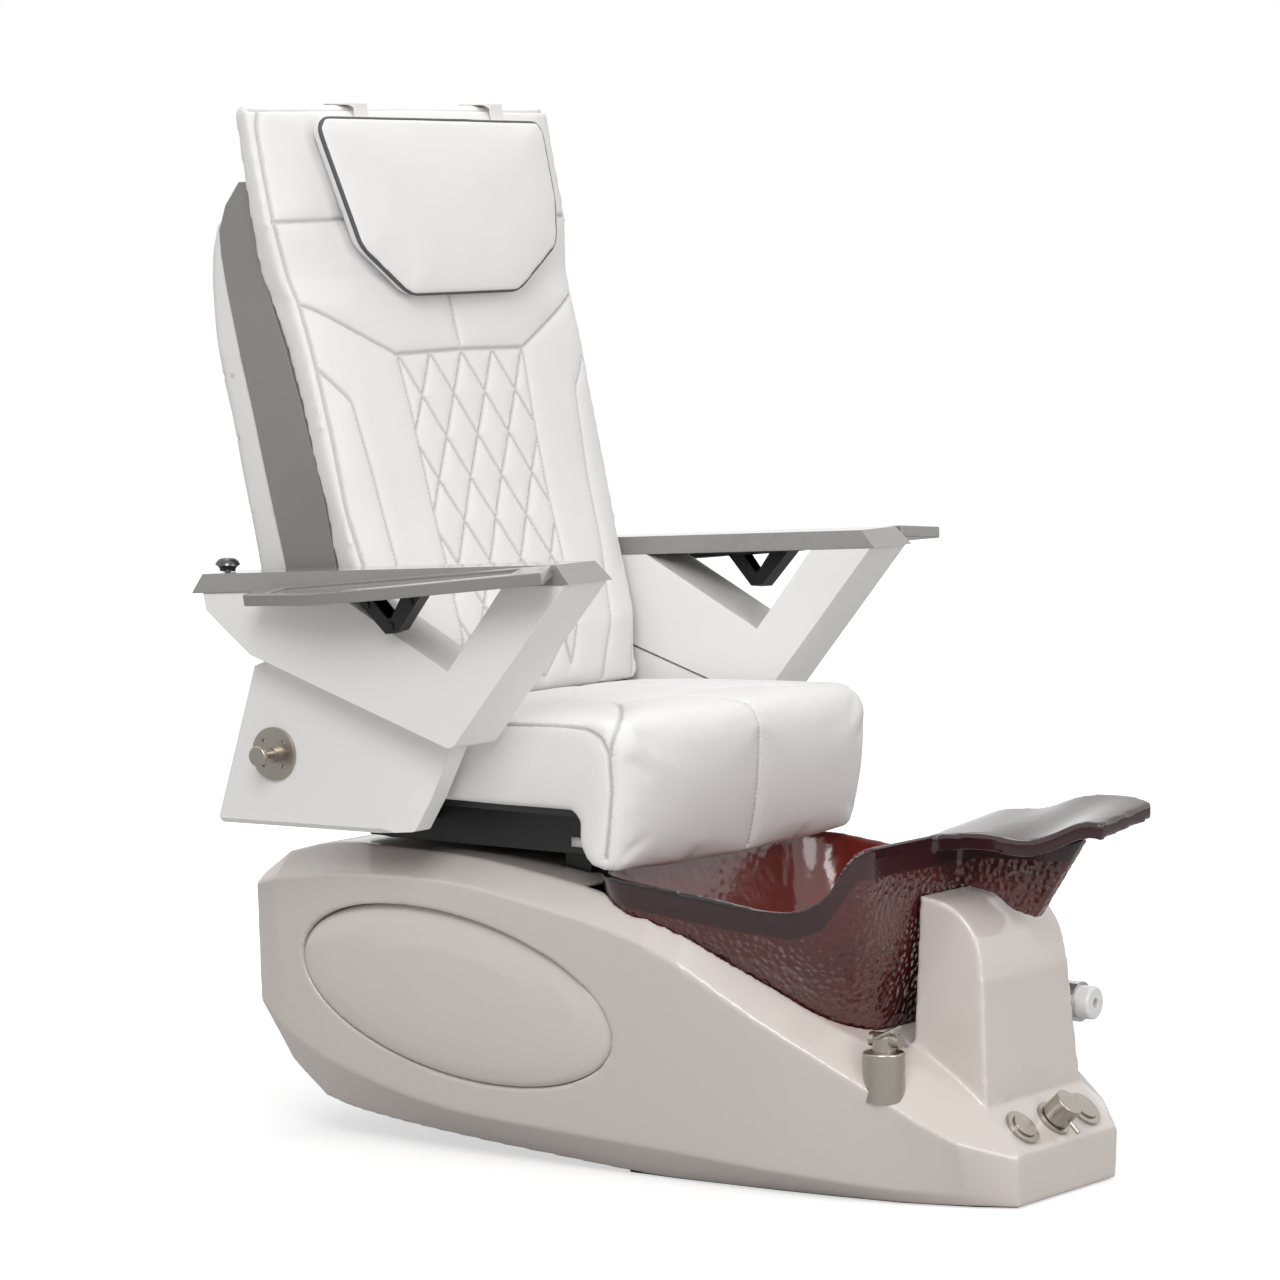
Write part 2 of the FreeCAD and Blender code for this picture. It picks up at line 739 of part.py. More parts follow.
def cushion_section(y, draw, nose_draw, crown):
    """Side outline of the seat cushion with its rolled front lip."""
    base = frame_top_z + soft_gap
    rear = seat_rear_x + draw
    top_r = seat_rear_top_z - draw + crown * 0.7
    top_f = seat_front_top_z - draw + crown * 0.4
    nose = seat_front_x - nose_draw + crown * 1.1
    lip = seat_lip_z + draw - crown * 0.8
    back_lip = chassis_x[1] + 8
    mid = nose - 26
    edges = [
        line((rear, y, base), (rear, y, top_r - 20)),
        arc((rear, y, top_r - 20), (rear + 6, y, top_r - 6), (rear + 20, y, top_r)),
        arc((rear + 20, y, top_r), ((rear + mid) / 2, y, (top_r + top_f) / 2 + crown * 0.3), (mid - 10, y, top_f)),
        arc((mid - 10, y, top_f), (nose - 9, y, top_f - 13), (nose, y, top_f - 48)),
        arc((nose, y, top_f - 48), (nose - 4, y, (top_f + lip) / 2 - 20), (nose - 16, y, lip + 16)),
        arc((nose - 16, y, lip + 16), (nose - 23, y, lip + 4), (nose - 36, y, lip)),
        arc((nose - 36, y, lip), (back_lip + 1, y, lip + 24), (back_lip - 2, y, base - 14)),
        line((back_lip - 2, y, base - 14), (back_lip - 8, y, base)),
        line((back_lip - 8, y, base), (rear, y, base)),
    ]
    return Part.Wire(edges)


def make_seat_cushion():
    """Sections from side to side: drawn in at the corners, fuller in the middle."""
    h = seat_half
    half = [(h, 8, 19, 0), (h - 9, 2, 8, 2), (h - 26, 0, 1, 4), (h * 0.55, 0, 0, seat_crown * 0.8)]
    right = [(-y, a, b, c) for y, a, b, c in half]
    left = list(reversed(half))
    steps = right + [(0, 0, 0, seat_crown)] + left
    wires = [cushion_section(*step) for step in steps]
    return Part.makeLoft(wires, True, True)


# Side covers below the arms
def arm_lower_edge(x):
    """Height of the arm shell's lower edge above the side cover."""
    x0, z0 = arm_shell_rear_low
    x1, z1 = arm_shell_vertex
    return z0 + (z1 - z0) * (x - x0) / (x1 - x0)


arm_shell_rear_low = (-372.0, 642.0)
arm_shell_vertex = (-58.0, 541.0)


def cover_facet():
    """Wedge off the cover's face, along its front edge."""
    width, depth = 44.0, 13.0
    wires = []
    for x, z in ((-172, 380), (-157, 427), (-131, 470), (-80, 560)):
        wires.append(wire_of([(x - width, cover_outer_y, z), (x + 30, cover_outer_y - depth * 1.7, z),
                              (x + 30, cover_outer_y + 5, z), (x - width, cover_outer_y + 5, z)]))
    return Part.makeLoft(wires, True, True)


def make_side_cover(side):
    gap = cover_gap
    points = [(-404, 622), (-465, 419), (-209, 423), (-157, 427), (-131, 470),
              (-92, arm_lower_edge(-92) - gap), (-366, arm_lower_edge(-366) - gap)]
    body = prism_xz(points, cover_inner_y, cover_outer_y)
    body = soften(body, 8.0, lambda e: along(V(0, 1, 0))(e) and e.BoundBox.ZMax < 450)
    outer = [e for e in body.Edges if e.BoundBox.YMin > cover_outer_y - 0.01]
    body = body.makeChamfer(6.0, outer).cut(cover_facet())
    hook_bore = rod((hook_place[0], cover_outer_y - 20, hook_place[1]),
                    (hook_place[0], cover_outer_y + 5, hook_place[1]), 5 + shaft_gap)
    if side > 0:
        return body
    return mirrored(body.cut(hook_bore))


hook_place = (-367.0, 513.0)
hook_plate_radius = 34.0


def make_bag_hook():
    x, z = hook_place
    y = -cover_outer_y - 0.2
    plate = rod((x, y, z), (x, y - 4, z), hook_plate_radius)
    for angle in (45, 135, 225, 315):
        a = math.radians(angle)
        slot_x = x + 22 * math.cos(a)
        slot_z = z + 22 * math.sin(a)
        plate = plate.cut(rod((slot_x, y + 1, slot_z), (slot_x, y - 6, slot_z), 2.6))
    post = rod((x, y + 18, z), (x, y - 34, z), 5)
    collar = rod((x, y - 4, z), (x, y - 12, z), 11)
    disc = rod((x, y - 30, z), (x, y - 38, z), 13)
    disc = soften(disc, 2.0, lambda e: e.Closed)
    return plate.fuse(post).fuse(collar).fuse(disc).removeSplitter()


bracket_z = (chassis_top_z - 25.0, chassis_top_z - 3.0)
bracket_x = (-338.0, -205.0)


def make_upright(side):
    """Side plate with its foot bracket: it carries the backrest and the arm."""
    low, foot = bracket_z
    px, pz = arm_pivot
    bracket = box(bracket_x[0], bracket_x[1], chassis_half, cover_inner_y - seat_gap, low, foot)
    points = [(bracket_x[0], foot), (bracket_x[1], foot), (-262, 545), (px + 34, pz + 24), (px - 18, pz + 26),
              (px - 34, pz - 10), (-372, 560)]
    body = prism_xz(points, upright_y, upright_y + upright_thickness)
    rx, rz = recline_pivot
    body = body.cut(rod((rx, 280, rz), (rx, 310, rz), recline_radius + shaft_gap))
    pin = rod((px, upright_y, pz), (px, arm_inner_y + 40, pz), arm_pivot_radius)
    body = body.fuse(pin).fuse(bracket).removeSplitter()
    return body if side > 0 else mirrored(body)


# Arms: a moulded V under a sloping top
slope = math.tan(math.radians(arm_slope))


def arm_top_z(x):
    """Height of the arm's top face."""
    return arm_top_front[1] + (x - arm_top_front[0]) * slope


def arm_under_z(x):
    return arm_top_z(x) - arm_top_thickness


def make_arm_shell(side):
    """V-shaped side of the arm, open through its notch."""
    front_x = 114.0
    rear_x = -446.0
    notch = (-63.0, 638.0)
    outer = [(rear_x, arm_under_z(rear_x)), (-441, 694), arm_shell_rear_low, arm_shell_vertex,
             (front_x, arm_under_z(front_x))]
    body = prism_xz(outer, arm_inner_y, arm_outer_y)
    body = soften(body, 14.0, lambda e: along(V(0, 1, 0))(e) and abs(e.BoundBox.ZMin - arm_shell_vertex[1]) < 1)
    gap = [(-243, arm_under_z(-243) + 1), notch, (22, arm_under_z(22) + 1)]
    body = body.cut(prism_xz(gap, arm_inner_y - 1, arm_outer_y + 1))
    px, pz = arm_pivot
    body = body.cut(rod((px, arm_inner_y - 1, pz), (px, arm_inner_y + 41, pz), arm_pivot_radius + shaft_gap))
    return body if side > 0 else mirrored(body)


def make_arm_top(side):
    """Top board with bevelled sides and a bevelled front end."""
    rear_x = arm_top_front[0] - arm_top_length
    t = arm_top_thickness
    points = [(rear_x - 14, arm_top_z(rear_x - 14) - t), (rear_x, arm_top_z(rear_x)),
              (arm_top_front[0], arm_top_front[1]), (arm_top_front[0] + 23, arm_top_z(arm_top_front[0] + 23) - t)]
    body = prism_xz(points, arm_inner_y, arm_outer_y + 2)
    bevel = 5.0
    low_y, high_y = arm_inner_y, arm_outer_y + 2
    ends = (rear_x - 20, arm_top_front[0] + 30)
    for y, inward in ((low_y, 1), (high_y, -1)):
        x0, x1 = ends
        wedge = [
            wire_of([(x0, y - inward, arm_top_z(x0) + 4), (x0, y + inward * bevel, arm_top_z(x0) + 4),
                     (x0, y - inward, arm_top_z(x0) - t)]),
            wire_of([(x1, y - inward, arm_top_z(x1) + 4), (x1, y + inward * bevel, arm_top_z(x1) + 4),
                     (x1, y - inward, arm_top_z(x1) - t)]),
        ]
        body = body.cut(Part.makeLoft(wedge, True, True))
    knob_x = arm_knob_x
    body = body.cut(rod((knob_x, arm_knob_y, 700), (knob_x, arm_knob_y, 800), 4 + shaft_gap))
    return body if side > 0 else mirrored(body)


arm_knob_x = -436.0
arm_knob_y = 352.0


def make_arm_knob(side):
    """Small domed knob at the rear end of the arm."""
    x, y = arm_knob_x, arm_knob_y
    top = arm_top_z(x)
    edges = [
        line((x, y, top - 18), (x + 4, y, top - 18)),
        line((x + 4, y, top - 18), (x + 4, y, top + 1.2)),
        line((x + 4, y, top + 1.2), (x + 10, y, top + 1.2)),
        arc((x + 10, y, top + 1.2), (x + 11, y, top + 5), (x + knob_radius, y, top + 9)),
        arc((x + knob_radius, y, top + 9), (x + knob_radius * 0.8, y, top + 15), (x + 4, y, top + 18)),
        line((x + 4, y, top + 18), (x, y, top + 18)),
        line((x, y, top + 18), (x, y, top - 18)),
    ]
    body = Part.Face(Part.Wire(edges)).revolve(V(x, y, 0), V(0, 0, 1), 360)
    return body if side > 0 else mirrored(body)


# Folding tray beside each arm. It is drawn flat, x along the arm, y outwards
# and z up from its underside, and then set to its slope and droop.
tray_length = 442.0
tray_origin = V(-338.0, 398.0, 713.5)
hinge_y = -1.5
hinge_z = -5.0
hinge_pin_radius = 2.4
hinge_barrel = 3.8
tray_knuckles = ((212.0, 243.0), (266.0, 290.0))
arm_knuckles = ((189.0, 211.5, 2.0), (243.5, 265.5, 0.0))


def tray_set(shape):
    """Turn and move a flat tray shape to its place on the left arm."""
    shape.rotate(V(0, 0, 0), V(1, 0, 0), -tray_droop)
    shape.rotate(V(0, 0, 0), V(0, 1, 0), -tray_slope)
    shape.translate(tray_origin)
    return shape


def make_tray(side):
    w = tray_width
    plan = [(0, 0), (tray_length, 0), (tray_length + 25, 57), (242, w), (126, w), (0, 45)]
    body = prism_xy(plan, 0, tray_thickness)
    inner = [(38, 10), (tray_length - 40, 10), (tray_length - 28, 46), (238, w - 12), (130, w - 12), (38, 46)]
    body = body.cut(prism_xy(inner, tray_thickness - 5, tray_thickness + 5))
    body = tray_set(body)
    return body if side > 0 else mirrored(body)


def make_tray_hinge(side):
    """Folded V bracket, leaf and catch under the tray, with the tray's barrels."""
    sheet = 3.0
    near, far = 3.4, 28.0
    body = prism_xz([(158, 0), (199, -50), (217, -50), (268, 0)], near, far)
    body = body.cut(prism_xz([(163, 1), (201, -46), (215, -46), (263, 1)], near + sheet, far - sheet))
    body = body.cut(prism_xz([(186, -5), (205, -31), (211, -31), (232, -5)], near - 1, far + 1))
    for x, z in ((208, -41), (176, -12), (243, -12)):
        body = body.fuse(rod((x, near, z), (x, far + 2.5, z), 3.2)).fuse(rod((x, far, z), (x, far + 2.5, z), 5.5))
    body = body.fuse(box(150, 300, near, 44, -2.5, 0))
    for start, end in tray_knuckles:
        barrel = rod((start, hinge_y, hinge_z), (end, hinge_y, hinge_z), hinge_barrel)
        body = body.fuse(barrel).fuse(box(start, end, hinge_y, near + 1, hinge_z - 0.5, -1.5))
    catch = box(86, 150, 20, 34, -4.5, 0).fuse(box(74, 90, 17, 37, -3, 0)).cut(box(100, 140, 25, 29, -6, 1))
    body = body.fuse(catch)
    axis_bore = rod((0, hinge_y, hinge_z), (400, hinge_y, hinge_z), hinge_pin_radius + shaft_gap)
    body = tray_set(body.cut(axis_bore).removeSplitter())
    return body if side > 0 else mirrored(body)


def make_tray_bracket(side):
    """Plate under the arm top that holds the tray's hinge pin."""
    x0, x1, sheet = -190.0, -44.0, 4.0
    body = prism_xz([(x0, arm_under_z(x0) - sheet), (x1, arm_under_z(x1) - sheet), (x1, arm_under_z(x1)),
                     (x0, arm_under_z(x0))], arm_outer_y - 50, arm_outer_y + 1.5)
    hinge = rod((arm_knuckles[0][0], hinge_y, hinge_z), (tray_knuckles[1][1], hinge_y, hinge_z), hinge_pin_radius)
    for start, end, lift in arm_knuckles:
        barrel = rod((start, hinge_y, hinge_z), (end, hinge_y, hinge_z), hinge_barrel)
        hinge = hinge.fuse(barrel).fuse(box(start, end, -16, hinge_y, hinge_z - 3.5, hinge_z + lift))
    body = body.fuse(tray_set(hinge)).removeSplitter()
    return body if side > 0 else mirrored(body)


# Backrest: upright lines in the middle of each layer, as (height, x)
pad_front_line = [(563, -246), (650, -250), (755, -279), (834, -302), (951, -331), (1022, -349), (1080, -366),
                  (1112, -379), (1180, -390), (1250, -407), (1322, -422), (1330, -430)]
pad_rear_line = [(563, -288), (650, -294), (755, -316), (834, -331), (951, -362), (1022, -384), (1080, -406),
                 (1112, -416), (1180, -421), (1250, -435), (1322, -447), (1330, -441)]
band_rear_line = [(563, -362), (747, -396), (842, -419), (937, -439), (1008, -456), (1095, -478), (1139, -487),
                  (1170, -490), (1202, -480), (1232, -458)]
shell_rear_line = [(567, -408), (744, -446), (864, -470), (931, -482), (979, -494), (1034, -505), (1102, -511),
                   (1142, -510), (1184, -500)]
pad_half_line = [(563, 286), (735, 288), (790, 297), (871, 298), (998, 301), (1080, 305), (1112, 313), (1150, 323),
                 (1180, 326), (1322, 327), (1330, 318)]
band_half_line = [(563, 284), (790, 286), (1000, 298), (1240, 298)]


def at(line_points, z):
    """Value of an upright line at height z."""
    for (z0, a), (z1, b) in zip(line_points, line_points[1:]):
        if z <= z1:
            return a + (b - a) * (z - z0) / (z1 - z0)
    return line_points[-1][1]


def levels(low, high, *upright_lines):
    """Heights that any of these lines names, between low and high."""
    return sorted({z for points in upright_lines for z, value in points if low <= z <= high})


# Swell of the pad's front across its half width, as (share of half, share of crown)
pad_swell = [(1.0, 0.0), (0.93, 0.45), (0.75, 0.8), (0.4, 0.97), (0.0, 1.0)]


def pad_section(z):
    """Level section: crowned front between its seams, sides drawn in behind."""
    end = z in (pad_front_line[0][0], pad_front_line[-1][0])
    front = at(pad_front_line, z)
    rear = at(pad_rear_line, z) + soft_gap
    half = at(pad_half_line, z)
    back_half = half - 6
    crown = 2.0 if end else pad_crown
    right = [(front + crown * rise, -half * share, z) for share, rise in pad_swell]
    left = [(x, -y, z) for x, y, z in reversed(right[:-1])]
    edges = [
        curve(right + left),
        line((front, half, z), (rear, back_half, z)),
        line((rear, back_half, z), (rear, -back_half, z)),
        line((rear, -back_half, z), (front, -half, z)),
    ]
    return Part.Wire(edges)


def make_back_pad():
    return Part.makeLoft([pad_section(z) for z, x in pad_front_line], True, True)


band_width = 34.0


def make_back_band(side):
    """Side frame of the backrest with the lug and pin it reclines on."""
    wires = []
    for z in levels(back_bottom_z, band_rear_line[-1][0], band_rear_line, pad_rear_line):
        front = at(pad_rear_line, z)
        rear = at(band_rear_line, z)
        half = at(band_half_line, z)
        inner = half - band_width
        wires.append(wire_of([(front, inner, z), (front, half, z), (rear, half, z), (rear, inner, z)]))
    body = Part.makeLoft(wires, True, True)
    rx, rz = recline_pivot
    lug_half = at(band_half_line, back_bottom_z)
    lug = prism_xz([(rx - 18, rz - 18), (rx + 18, rz - 18), (rx + 7, 590), (rx - 56, 590)], lug_half - 12, lug_half)
    pin = rod((rx, lug_half - 12, rz), (rx, upright_y + upright_thickness, rz), recline_radius)
    body = body.fuse(lug).fuse(pin).removeSplitter()
    return body if side > 0 else mirrored(body)


def make_back_panel():
    """Sheet across the back between the side frames, closed over at the top."""
    sheet = 8.0
    inner_gap = band_width + 0.2
    wires = []
    for z, rear in band_rear_line[:-2]:
        half = at(band_half_line, z) - inner_gap
        wires.append(wire_of([(rear + sheet, -half, z), (rear + sheet, half, z), (rear, half, z), (rear, -half, z)]))
    body = Part.makeLoft(wires, True, True)
    wires = []
    for z in levels(band_rear_line[-3][0], band_rear_line[-1][0], band_rear_line, pad_rear_line):
        half = at(band_half_line, z) - inner_gap
        front = at(pad_rear_line, z)
        rear = at(band_rear_line, z)
        wires.append(wire_of([(front, -half, z), (front, half, z), (rear, half, z), (rear, -half, z)]))
    return body.fuse(Part.makeLoft(wires, True, True)).removeSplitter()


def make_rear_shell():
    wires = []
    for z in levels(shell_rear_line[0][0], shell_rear_line[-1][0], shell_rear_line, band_rear_line):
        rear = at(shell_rear_line, z)
        front = at(band_rear_line, z) - seat_gap
        half = at(band_half_line, z) - 3
        corner = min(7.0, (front - rear) * 0.5)
        wires.append(wire_of([(front, half, z), (rear + corner, half, z), (rear, half - 10, z),
                              (rear, -half + 10, z), (rear + corner, -half, z), (front, -half, z)]))
    return Part.makeLoft(wires, True, True)


# Massage mechanism inside the backrest
lean = math.radians(massage_lean)
massage_start = V(-358.0, 0, 745.0)
rail_spacing = 90.0
massage_rail_length = 400.0


def massage_box(u0, u1, y0, y1, w0, w1):
    """Box in the leaning frame: u along the track, w towards the sitter."""
    body = Part.makeBox(w1 - w0, y1 - y0, u1 - u0, V(w0, y0, u0))
    body.rotate(V(0, 0, 0), V(0, 1, 0), -massage_lean)
    body.translate(massage_start)
    return body


def make_massage_rails():
    """Two rails on feet that stand on the back panel."""
    solids = []
    for side in (-1, 1):
        y = side * rail_spacing
        rail = massage_box(-70, massage_rail_length - 70, y - 6, y + 6, -20, -8)
        for u in (-66, massage_rail_length - 84):
            foot = massage_box(u, u + 14, y - 9, y + 9, -60, -19)
            rail = rail.fuse(foot.cut(space_behind_panel()))
        solids.append(rail.removeSplitter())
    return Part.makeCompound(solids)


def space_behind_panel():
    """Everything behind the panel's front face."""
    points = [(rear + 8, z) for z, rear in band_rear_line[:-2]]
    points = points + [(-700, points[-1][1]), (-700, points[0][1])]
    return prism_xz(points, -300, 300)


def make_massage_carriage():
    """Cross plate that rides on the rails, with the roller motor."""
    body = massage_box(-34, 60, -rail_spacing - 16, rail_spacing + 16, -6, 8)
    reach = 6 + slide_gap
    for side in (-1, 1):
        y = side * rail_spacing
        for inner in (y - reach - 5, y + reach):
            body = body.fuse(massage_box(-24, 50, inner, inner + 5, -16, -5))
    body = body.cut(massage_box(-40, 70, -rail_spacing - reach, -rail_spacing + reach, -30, -8 + slide_gap))
    body = body.cut(massage_box(-40, 70, rail_spacing - reach, rail_spacing + reach, -30, -8 + slide_gap))
    for y in (-60, 50):
        body = body.fuse(massage_box(2, 26, y, y + 10, 7, 30))
    body = body.fuse(massage_box(30, 56, -34, 34, 7, 30))
    a = massage_point(14, 0, 21)
    bore = Part.makeCylinder(6 + shaft_gap, 160, V(a.x, -80, a.z), V(0, 1, 0))
    return body.cut(bore).removeSplitter()


def massage_point(u, y, w):
    point = V(w, y, u)
    rotation = FreeCAD.Rotation(V(0, 1, 0), -massage_lean)
    return rotation.multVec(point) + massage_start


def make_massage_rollers():
    a = massage_point(14, 0, 21)
    body = Part.makeCylinder(6, 168, V(a.x, -84, a.z), V(0, 1, 0))
    for y in (-84, 66):
        wheel = Part.makeCylinder(12.5, 18, V(a.x, y, a.z), V(0, 1, 0))
        body = body.fuse(soften(wheel, 4.0, lambda e: e.Closed))
    return body.removeSplitter()


# Headrest pillow: its outline is widest at the piping near its front
pillow_corners = [(-228, 1314), (-241, 1302), (-240, 1290), (-200, 1153), (-192, 1143), (-122, 1091), (-108, 1086),
                  (118, 1086), (132, 1091), (222, 1142), (230, 1152), (244, 1206), (244, 1294), (234, 1308)]
pillow_middle_z = 1200.0


def piping_x(z):
    return -375.0 + (1310.0 - z) * 0.227


def pillow_wire(offset, shrink):
    points = []
    for y, z in pillow_corners:
        height = pillow_middle_z + (z - pillow_middle_z) * shrink
        points.append((piping_x(height) + offset, y * shrink, height))
    return wire_of(points)


def make_pillow():
    steps = ((-21.7, 0.92), (-14.0, 0.985), (-2.0, 1.0), (2.0, 1.0), (7.0, 0.95), (11.0, 0.84))
    return Part.makeLoft([pillow_wire(offset, shrink) for offset, shrink in steps], True, True)


strap_places = (-120.0, 176.0)
strap_half = 14.0
strap_thickness = 1.6


def make_straps():
    """Flat straps that hold the pillow over the top of the pad."""
    solids = []
    t = strap_thickness
    low, bend, top = 1309.0, 1322.0, back_top_z + soft_gap
    clear = pad_crown + 0.4
    fronts = [(at(pad_front_line, z) + clear, z) for z in (low, bend)]
    rears = [(at(pad_rear_line, z) - 0.4, z) for z in (bend, 1250.0, 1238.0)]
    inner = fronts + [(fronts[1][0], top), (rears[0][0], top)] + rears
    outer = [(fronts[0][0] + t, low), (fronts[1][0] + t, bend), (fronts[1][0] + t, top + t),
             (rears[0][0] - t, top + t)]
    outer = outer + [(x - t, z) for x, z in rears]
    path = inner + list(reversed(outer))
    for y in strap_places:
        solids.append(prism_xz(path, y - strap_half, y + strap_half))
    return Part.makeCompound(solids)


# Drain in the basin floor, with its pump and pipe
def make_drain():
    z = basin_floor_z + basin_wall
    flange = rod((drain_x, 0, z), (drain_x, 0, z + 3), 32)
    body = rod((drain_x, 0, z - 34), (drain_x, 0, z + 1), 23)
    bore = rod((drain_x, 0, z - 40), (drain_x, 0, z + 10), 18)
    nut = rod((drain_x, 0, basin_floor_z - 9), (drain_x, 0, basin_floor_z), 32)
    bridge = box(drain_x - 18.5, drain_x + 18.5, -2, 2, z - 22, z - 18)
    guide = ring((drain_x, 0, z - 26), (drain_x, 0, z - 14), 7, 3 + shaft_gap)
    body = body.fuse(flange).fuse(nut).cut(bore)
    bridge = bridge.cut(rod((drain_x, 0, z - 40), (drain_x, 0, z), 3 + shaft_gap))
    return body.fuse(bridge).fuse(guide).removeSplitter()


def make_drain_plug():
    z = basin_floor_z + basin_wall + 3 + seat_gap
    cap = rod((drain_x, 0, z), (drain_x, 0, z + 4), 26)
    cap = soften(cap, 1.5, lambda e: e.Closed and e.BoundBox.ZMin > z + 1)
    stem = rod((drain_x, 0, z - 26), (drain_x, 0, z), 3)
    return cap.fuse(stem).removeSplitter()


def make_jet_motor():
    wall = jet_wall_x()
    x = wall - basin_wall
    shell = bowl(-seat_gap)
    flange = rod((x - 60, 0, jet_z), (x + 30, 0, jet_z), 34)
    body = rod((x - 150, 0, jet_z), (x - 60, 0, jet_z), 42)
    body = soften(body, 5.0, lambda e: e.Closed)
    body = body.fuse(flange).cut(shell).Solids[0]
    return body.cut(rod((x - 32, 0, jet_z), (x + 40, 0, jet_z), jet_shaft_radius + shaft_gap))


def make_jet_cover():
    """Round cover over the impeller, on the inside of the rear wall."""
    wall = jet_wall_x()
    front = wall + 52
    sheet = 4.0
    can = rod((wall - 30, 0, jet_z), (front, 0, jet_z), jet_cover_radius)
    can = soften(can, 4.0, lambda e: e.Closed and e.BoundBox.XMin > wall + 20)
    body = can.cut(rod((wall - 40, 0, jet_z), (front - sheet, 0, jet_z), jet_cover_radius - sheet))
    for index in range(8):
        a = math.radians(45 * index)
        y, z = 26 * math.cos(a), jet_z + 26 * math.sin(a)
        body = body.cut(rod((wall + 30, y, z), (wall + 60, y, z), 5))
    body = body.common(bowl(basin_wall + seat_gap))
    return max(body.Solids, key=lambda solid: solid.Volume)


def make_jet_impeller():
    wall = jet_wall_x()
    x = wall + 28
    hub = rod((x - 4, 0, jet_z), (x + 12, 0, jet_z), jet_hub_radius)
    hub = hub.fuse(rod((wall - basin_wall - 30, 0, jet_z), (x, 0, jet_z), jet_shaft_radius))
    for index in range(4):
        blade = box(x - 2, x + 10, -1.5, 1.5, jet_z, jet_z + 32)
        blade.rotate(V(x, 0, jet_z), V(1, 0, 0), 90 * index + 10)
        hub = hub.fuse(blade)
    return hub.removeSplitter()


pump_x = (-172.0, -72.0)
pump_top_z = 150.0
discharge_z = 60.0
discharge_radius = 13.0


def make_drain_pump():
    body = box(pump_x[0], pump_x[1], -55, 55, pan_thickness, pump_top_z - 30)
    body = soften(body, 8.0, along(V(0, 0, 1)))
    middle = (pump_x[0] + pump_x[1]) / 2
    motor = rod((middle, 0, pump_top_z - 30), (middle, 0, pump_top_z + 20), 38)
    return body.fuse(motor).removeSplitter()


def pipe_along(points, radius, bend):
    """Pipe of straight runs joined by tangent arcs."""
    nodes = [V(*p) for p in points]
    edges = []
    start = nodes[0]
    for index in range(1, len(nodes) - 1):
        before = (nodes[index] - nodes[index - 1]).normalize()
        after = (nodes[index + 1] - nodes[index]).normalize()
        turn = before.getAngle(after)
        cut_back = bend * math.tan(turn / 2)
        a = nodes[index] - before * cut_back
        b = nodes[index] + after * cut_back
        middle = nodes[index] + (after - before).normalize() * (bend / math.cos(turn / 2) - bend)
        edges.append(Part.LineSegment(start, a).toShape())
        edges.append(Part.Arc(a, middle, b).toShape())
        start = b
    edges.append(Part.LineSegment(start, nodes[-1]).toShape())
    path = Part.Wire(edges)
    direction = (nodes[1] - nodes[0]).normalize()
    circle = Part.Wire([Part.Circle(nodes[0], direction, radius).toShape()])
    return path.makePipeShell([circle], True, False)


def make_drain_pipes():
    """From the drain to the pump, and from the pump to the outlet."""
    z = basin_floor_z + basin_wall - 34
    suction = pipe_along([(drain_x, 0, z), (drain_x, 0, 42), (pump_x[1], 0, 42)], 16, 26)
    y, z = drain_outlet
    x = base_rear_x - 3.3 + 45
    bend_x = rear_post_x - 60
    path = [(pump_x[0], y, discharge_z), (bend_x, y, discharge_z), (bend_x, y, z), (x, y, z)]
    discharge = pipe_along(path, discharge_radius, 26)
    return Part.makeCompound([suction, discharge])


def make_power_box():
    """Control box on a shelf fixed to the rear post."""
    shelf = box(-435, rear_post_x - post_size / 2, -110, 30, 256, 262)
    case = soften(box(-430, -300, -100, -10, 262, 322), 6.0, along(V(0, 0, 1)))
    return shelf.fuse(case).removeSplitter()


def make_oval_panel(side):
    """Domed cover of the side opening."""
    y = oval_ledge_y + seat_gap
    wires = []
    for share, rise in oval_dome:
        prism = ellipse_prism(oval_long * share, oval_short * share, -y - rise, -y - rise + 1)
        rim = [f for f in prism.Faces if abs(f.BoundBox.YMax + y + rise) < 0.01 and f.BoundBox.YLength < 0.01]
        wires.append(rim[0].OuterWire)
    body = Part.makeLoft(wires, True, True)
    return body if side < 0 else mirrored(body)


sides = (("right", -1), ("left", 1))


def both(name, make):
    """Save the pair of a piece that each side has."""
    for label, side in sides:
        save(name + "_" + label, make(side))


